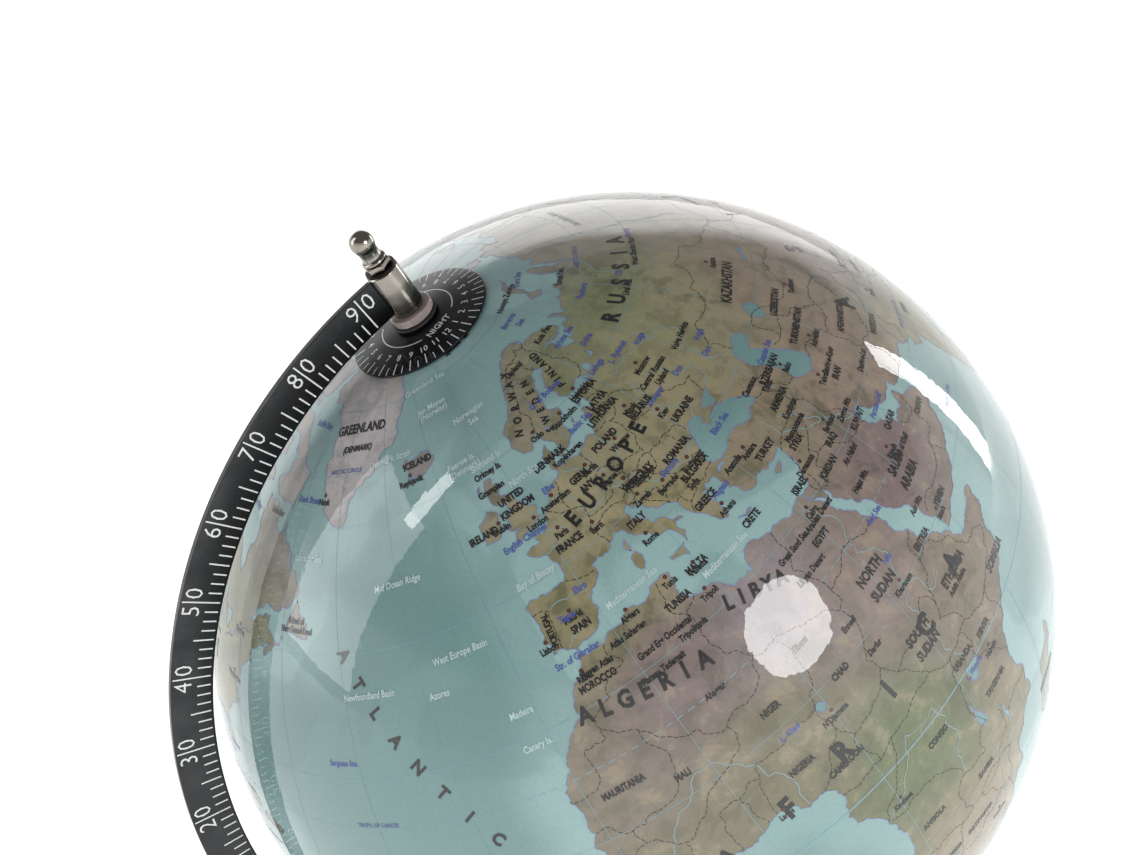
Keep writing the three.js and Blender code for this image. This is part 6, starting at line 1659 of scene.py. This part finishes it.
@dataclass
class TimeDial:
    """The black cap at the north pole, with the hours printed twice round its rim."""

    inner: float = 150.3
    thickness: float = 0.8
    rim: float = 24.4
    bore: float = 2.6
    noon: float = 279.0
    numeral_radius: float = 17.6
    numeral_height: float = 2.5
    long_tick: float = 4.2
    short_tick: float = 2.9
    circle_radius: float = 13.0
    tick_inset: float = 0.3
    long_width: float = 0.38
    short_width: float = 0.28
    print_lift: float = 0.03

    def build(self) -> None:
        """Makes the cap and its print."""
        outer = self.inner + self.thickness
        under = 90 - math.degrees(math.asin(self.bore / self.inner))
        edge = 90 - math.degrees(math.asin(self.rim / outer))
        over = 90 - math.degrees(math.asin(self.bore / outer))
        outline = [*arc(0, 0, self.inner, under, edge, 20), *arc(0, 0, outer, edge, over, 20)]
        cap = turned("time_dial_cap", outline, 192, 0.15)
        mount(cap, "dial", Shop.DIAL_LACQUER, "dial_black", "time_dial", place=AXIS_FRAME)
        self.print()

    def on_cap(self, x: float, y: float) -> Vector:
        """Puts a point of the dial's plan on its dome."""
        outer = self.inner + self.thickness + self.print_lift
        return Vector((x, y, math.sqrt(outer ** 2 - x * x - y * y))) * MM

    def at(self, angle: float, radius: float) -> tuple[float, float]:
        """Gives a point of the plan by its angle in degrees and its radius."""
        return radius * math.cos(math.radians(angle)), radius * math.sin(math.radians(angle))

    def print(self) -> None:
        """Prints the ticks, the hours, the inner circle and its two words."""
        white = FlatPrint("time_dial_print", Shop.DIAL_WHITE, self.on_cap)
        for half in range(48):
            angle = self.noon + 7.5 * half
            reach, width = (self.short_tick, self.short_width) if half % 2 else (self.long_tick, self.long_width)
            outer = self.rim - self.tick_inset
            white.bar(self.at(angle, outer), self.at(angle, outer - reach), width, 3)
        for hour in range(24):
            angle = self.noon + 15 * hour
            numeral = str((hour - 1) % 12 + 1)
            white.words(numeral, self.at(angle, self.numeral_radius), angle + 180,
                        self.numeral_height, Type(0.01, 0.0, 0.9))
        self.broken_circle(white)
        white.words("NIGHT", self.at(self.noon + 3, self.circle_radius - 0.6), self.noon + 183, 2.6, Type(0.015))
        white.words("DAY", self.at(self.noon + 183, self.circle_radius - 0.6), self.noon + 3, 2.6, Type(0.015))
        white.build("dial", "dial_black")

    def broken_circle(self, white: FlatPrint) -> None:
        """Prints the inner circle, left open where the words stand."""
        for degree in range(0, 360, 5):
            from_word = (degree - self.noon - 3 + 90) % 180 - 90
            if abs(from_word) > 33:
                white.bar(self.at(degree, self.circle_radius), self.at(degree + 5.1, self.circle_radius), 0.4)


@dataclass
class Stand:
    """The felt pad, the spun foot, the turned stem and the saddle that grips the meridian."""

    felt_height: float = 2.0
    foot_radius: float = 90.0
    foot_height: float = 32.0
    rim_height: float = 9.0
    boss_radius: float = 19.0
    bolt_bore: float = 4.15
    stem_height: float = 46.0
    stem_foot: float = 16.0
    waist: float = 6.2
    knob: float = 10.0
    collar: float = 11.5
    saddle_radius: float = 11.0
    saddle_floor: float = 12.0
    saddle_cheek: float = 12.4
    slot_width: float = 3.0
    flat_depth: float = 8.8
    screw_height: float = 99.55

    @property
    def stem_top(self) -> float:
        """Gives the height of the stem's shoulder."""
        return self.felt_height + self.foot_height + self.stem_height

    def build(self) -> None:
        """Makes the stand from the table upwards."""
        self.felt()
        self.foot()
        self.stem()
        self.saddle()
        self.fasteners()
        self.hidden()

    def felt(self) -> None:
        """Cuts the felt disc, with its edges eased."""
        radius = self.foot_radius - 3
        pad = turned("felt_pad_piece", [(0, 0), (radius - 0.3, 0), (radius, 0.4), (radius, 1.6),
                                        (radius - 0.3, 2), (0, 2)], 160, 0.2)
        mount(pad, "stand", Shop.FELT, "felt", "felt_pad")

    def foot(self) -> None:
        """Spins the weighted foot: a rolled rim, a fine step and a long sweep up to its boss."""
        bottom, top = self.felt_height, self.felt_height + self.foot_height
        rim_round = self.rim_height / 2
        step = self.foot_radius - 5
        step_top = bottom + self.rim_height + 1.6
        sweep_top, sweep_radius = top - 4, self.boss_radius + 5
        sweep = [(step + (sweep_radius - step) * i / 40, step_top + (sweep_top - step_top) * (i / 40) ** 2.1)
                 for i in range(41)]
        outline = [(self.bolt_bore, top - 7), (self.boss_radius - 1, top - 7), (self.boss_radius + 4, bottom + 7.3),
                   (self.foot_radius - 14, bottom + 7.3), (self.foot_radius - 14, bottom),
                   (self.foot_radius - rim_round, bottom),
                   *arc(self.foot_radius - rim_round, bottom + rim_round, rim_round, -70, 90, 24),
                   *sweep, (sweep_radius, sweep_top + 1), *arc(self.boss_radius, top - 2, 2, 0, 90, 8),
                   (self.bolt_bore, top)]
        mount(turned("foot_piece", outline, 192, 0.3), "stand", Shop.SATIN_NICKEL, "satin_nickel", "foot")

    def stem(self) -> None:
        """Turns the stem: a flared foot, a waist, a round knob and a collar."""
        base, top = self.felt_height + self.foot_height, self.stem_top
        waist_low, knob_height = base + 12, base + self.stem_height * 0.58
        flare = [(radius, waist_low + (height - waist_low) * 0.9) for radius, height in
                 arc(self.stem_foot, waist_low, self.stem_foot - self.waist, -90, -180, 18)]
        knob = [(self.waist + (self.knob - self.waist) * (across - 0.57) / 0.43,
                 knob_height + self.knob * 0.62 * up / 0.82) for across, up in arc(0, 0, 1, -55, 55, 24)]
        outline = [(0, base + 18), (self.bolt_bore, base + 18), (self.bolt_bore, base), (self.stem_foot, base),
                   *flare, *knob, (self.waist, top - 9), (self.waist + 0.5, top - 8), (self.waist + 1.5, top - 7),
                   (self.collar - 1, top - 6), (self.collar - 0.2, top - 5.4), (self.collar, top - 4.5),
                   (self.collar, top - 1), (self.collar - 0.3, top - 0.3), (self.collar - 1, top),
                   (4, top), (4, top + 7.5), (3.5, top + 8), (0, top + 8)]
        mount(turned("stem_piece", outline, 128, 0.15), "stand", Shop.BRIGHT_NICKEL, "bright_nickel", "stem")

    def saddle(self) -> None:
        """Turns the saddle, then cuts its slot and its two flats."""
        low, top = self.stem_top, self.stem_top + self.saddle_floor + self.saddle_cheek
        radius = self.saddle_radius
        body = turned("meridian_saddle_piece", [
            (0, low + 8.3), (4.15, low + 8.3), (4.15, low), (radius - 1.5, low), (radius, low + 1.5),
            (radius, top - 2), (radius - 2, top), (0, top)], 96, 0.0)
        carved(body, block((3 * radius, self.slot_width, 2 * self.saddle_cheek),
                           (0, 0, low + self.saddle_floor + self.saddle_cheek)))
        tall = 2 * (top - self.screw_height + 6.4)
        for side in (-1, 1):
            carved(body, block((22, radius, tall), (0, side * (self.flat_depth + radius / 2), top)))
        mount(rounded(body, 0.35), "stand", Shop.BRIGHT_NICKEL, "bright_nickel", "meridian_saddle")

    def fasteners(self) -> None:
        """Makes the slotted cross screw, its washers and the domed cap nut."""
        seat = self.flat_depth + 0.9
        front = Matrix.Translation((0, 0, self.screw_height * MM)) @ Matrix.Rotation(math.pi / 2, 4, "X")
        back = Matrix.Translation((0, 0, self.screw_height * MM)) @ Matrix.Rotation(-math.pi / 2, 4, "X")
        top = seat + 2.9
        head = turned("saddle_screw_piece", [
            (0, -seat - 4), (2.4, -seat - 4), (2.4, seat), (4.6, seat), (4.6, top - 1.2), (4.3, top - 0.6),
            (3.5, top - 0.2), (2.6, top), (0, top)], 96, 0.0)
        carved(head, block((14, 1.2, 2.6), (0, 0, top)))
        mount(rounded(head, 0.1), "stand", Shop.BRIGHT_NICKEL, "bright_nickel", "saddle_screw", place=front)
        for name, side in (("saddle_screw_washer", front), ("saddle_nut_washer", back)):
            ring = washer(f"{name}_piece", 2.65, 5.4, self.flat_depth + 0.05, self.flat_depth + 0.85)
            mount(ring, "stand", Shop.SATIN_NICKEL, "satin_nickel", name, place=side)
        nut = hexagon("saddle_cap_nut_piece", 8, seat, seat + 4)
        skirt = turned("cap_skirt", [(0, seat), (4.1, seat), (4.72, seat + 0.4), (4.72, seat + 3.6),
                                     (4.1, seat + 4), (0, seat + 4)], 96, 0.0)
        carved(nut, skirt, "INTERSECT")
        dome = turned("cap_dome", [(0, seat + 3), (3.8, seat + 3), *[
            (3.8 * across, seat + 4 + 3.6 * up) for across, up in arc(0, 0, 1, 0, 86, 20)], (0, seat + 7.6)], 96, 0.0)
        carved(nut, dome, "UNION")
        mount(rounded(nut, 0.12), "stand", Shop.BRIGHT_NICKEL, "bright_nickel", "saddle_cap_nut", place=back)

    def hidden(self) -> None:
        """Gives the pieces inside the stand and the ball their own finishes."""
        finishes = {
            "ballast": Shop.CAST_IRON, "stem_bolt": Shop.ZINC, "stem_bolt_washer": Shop.ZINC,
            "north_pivot_pin": Shop.ZINC, "south_pivot_pin": Shop.ZINC, "north_pole_bush": Shop.NYLON,
            "south_pole_bush": Shop.NYLON, "equator_band": Shop.GREY_BOARD, "axis_spar": Shop.BEECH,
        }
        for node, finish in finishes.items():
            mesh = frame["nodes"][node].data
            mesh.materials.clear()
            mesh.materials.append(finish.material())


# ---------------------------------------------------------------------------------------------
# Studio
# ---------------------------------------------------------------------------------------------


@dataclass(frozen=True)
class Softbox:
    """A soft area light at a distance from the ball, aimed at it."""

    name: str
    azimuth: float
    elevation: float
    distance: float
    width: float
    height: float
    radiance: float
    round_box: bool = False

    def place(self) -> None:
        """Hangs the light by its azimuth from the front towards the right, and its elevation."""
        turn, rise = math.radians(self.azimuth), math.radians(self.elevation)
        towards = Vector((math.sin(turn) * math.cos(rise), -math.cos(turn) * math.cos(rise), math.sin(rise)))
        data = bpy.data.lights.new(self.name, "AREA")
        data.shape = "ELLIPSE" if self.round_box else "RECTANGLE"
        data.size, data.size_y = self.width, self.height
        share = math.pi / 4 if self.round_box else 1.0
        data.energy = self.radiance * math.pi * self.width * self.height * share
        lamp = bpy.data.objects.new(self.name, data)
        bpy.context.scene.collection.objects.link(lamp)
        lamp.location = BALL_CENTRE + towards * self.distance
        lamp.rotation_euler = towards.to_track_quat("Z", "Y").to_euler()


@dataclass
class Studio:
    """A white tent: a pale floor, even light all round and four soft boxes."""

    floor_size: float = 30.0
    floor_colour: str = "#F7F7F7"
    floor_glow: float = 0.82
    room: float = 0.95
    ceiling: float = 0.2
    backdrop: float = 2.1
    backdrop_way: tuple[float, float, float] = (0.173, 0.981, -0.087)
    room_edge: tuple[float, float] = (0.2, 0.32)
    backdrop_edge: tuple[float, float] = (0.7, 0.82)
    backdrop_top: tuple[float, float] = (0.4, 0.53)
    boxes: tuple[Softbox, ...] = (
        Softbox("octabox", 15.8, 17.2, 3.0, 1.2, 1.2, 11.0, True),
        Softbox("strip_box", 99.5, 6.5, 2.5, 0.28, 1.5, 8.0),
        Softbox("window_strip", -103.0, 45.0, 2.8, 0.18, 0.72, 8.0),
        Softbox("left_panel", -113.0, 20.0, 3.4, 1.5, 2.6, 2.6),
    )

    def build(self) -> None:
        """Lays the floor, fills the tent with light and hangs the boxes."""
        bpy.ops.object.select_all(action="DESELECT")
        bpy.ops.mesh.primitive_grid_add(x_subdivisions=8, y_subdivisions=8, size=self.floor_size)
        floor = bpy.context.active_object
        floor.name = "studio_floor"
        surface = Surface("white_matt_board")
        relief = surface.bump(surface.noise(2, 3.0), 0.1, 0.05)
        floor.data.materials.append(surface.finish({
            "Base Color": linear(self.floor_colour), "Roughness": 0.9, "Normal": relief,
            "Emission Color": linear(self.floor_colour), "Emission Strength": self.floor_glow}))
        floor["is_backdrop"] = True
        self.sweep_light()
        bpy.context.scene.view_settings.view_transform = "Standard"
        for box in self.boxes:
            box.place()

    def sweep_light(self) -> None:
        """Lights the room: pale walls up to a low edge, a dim ceiling, and a bright backdrop behind the globe."""
        world = bpy.data.worlds.new("white_sweep")
        bpy.context.scene.world = world
        world.use_nodes = True
        tree = world.node_tree
        direction = tree.nodes.new("ShaderNodeTexCoord").outputs["Generated"]
        height = tree.nodes.new("ShaderNodeSeparateXYZ")
        tree.links.new(direction, height.inputs[0])
        room = self.ramp(tree, height.outputs["Z"], self.room_edge, (self.room, self.ceiling))
        facing = tree.nodes.new("ShaderNodeVectorMath")
        facing.operation = "DOT_PRODUCT"
        tree.links.new(direction, facing.inputs[0])
        facing.inputs[1].default_value = self.backdrop_way
        lit = self.ramp(tree, facing.outputs["Value"], self.backdrop_edge, (0.0, self.backdrop))
        below_top = self.ramp(tree, height.outputs["Z"], self.backdrop_top, (1.0, 0.0))
        backdrop = self.maths(tree, "MULTIPLY", lit, below_top)
        total = self.maths(tree, "MAXIMUM", room, backdrop)
        tree.links.new(total, tree.nodes["Background"].inputs["Strength"])
        tree.nodes["Background"].inputs["Color"].default_value = (1.0, 1.0, 1.0, 1.0)

    def maths(self, tree: bpy.types.NodeTree, operation: str, first: bpy.types.NodeSocket,
              second: bpy.types.NodeSocket) -> bpy.types.NodeSocket:
        """Adds one sum of two numbers to the room's light."""
        node = tree.nodes.new("ShaderNodeMath")
        node.operation = operation
        tree.links.new(first, node.inputs[0])
        tree.links.new(second, node.inputs[1])
        return node.outputs[0]

    def ramp(self, tree: bpy.types.NodeTree, value: bpy.types.NodeSocket, span: tuple[float, float],
             levels: tuple[float, float]) -> bpy.types.NodeSocket:
        """Adds an eased step to the room's light.

        Args:
            tree: The world's nodes.
            value: What the step follows.
            span: Where the step starts and ends.
            levels: The light before and after it.

        Returns:
            The stepped light as an output.
        """
        step = tree.nodes.new("ShaderNodeMapRange")
        step.interpolation_type = "SMOOTHSTEP"
        tree.links.new(value, step.inputs["Value"])
        for socket, number in zip(("From Min", "From Max", "To Min", "To Max"), (*span, *levels)):
            step.inputs[socket].default_value = number
        return step.outputs[0]


@dataclass(frozen=True)
class Viewpoint:
    """The camera: above the front left of the ball, looking down on its north."""

    position: tuple[float, float, float] = (-275.45, -608.97, 700.88)
    right: tuple[float, float, float] = (0.87939, -0.45709, -0.13321)
    down: tuple[float, float, float] = (-0.32415, -0.36988, -0.87070)
    lens: float = 69.67

    def build(self) -> None:
        """Makes the scene's camera, with no shift and no depth of field."""
        data = bpy.data.cameras.new("main_view")
        data.lens, data.sensor_width = self.lens, 36.0
        data.clip_start, data.clip_end = 0.01, 100.0
        camera = bpy.data.objects.new("main_view", data)
        bpy.context.scene.collection.objects.link(camera)
        right, up = Vector(self.right), -Vector(self.down)
        turn = Matrix((right, up, right.cross(up))).transposed().to_4x4()
        camera.matrix_world = Matrix.Translation(Vector(self.position) * MM) @ turn
        bpy.context.scene.camera = camera


def corners() -> list[list[float]]:
    """Gives the shown object's lowest and highest corner as plain lists."""
    return [list(corner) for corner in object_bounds()]


def main() -> None:
    """Builds the globe, its light and its camera."""
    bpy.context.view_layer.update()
    Viewpoint().build()
    Studio().build()
    Stand().build()
    Meridian().build()
    Pivot("north", AXIS_FRAME).build()
    Pivot("south", SOUTHWARD).build()
    TimeDial().build()
    MapBall().build()


if __name__ == "__main__":
    main()
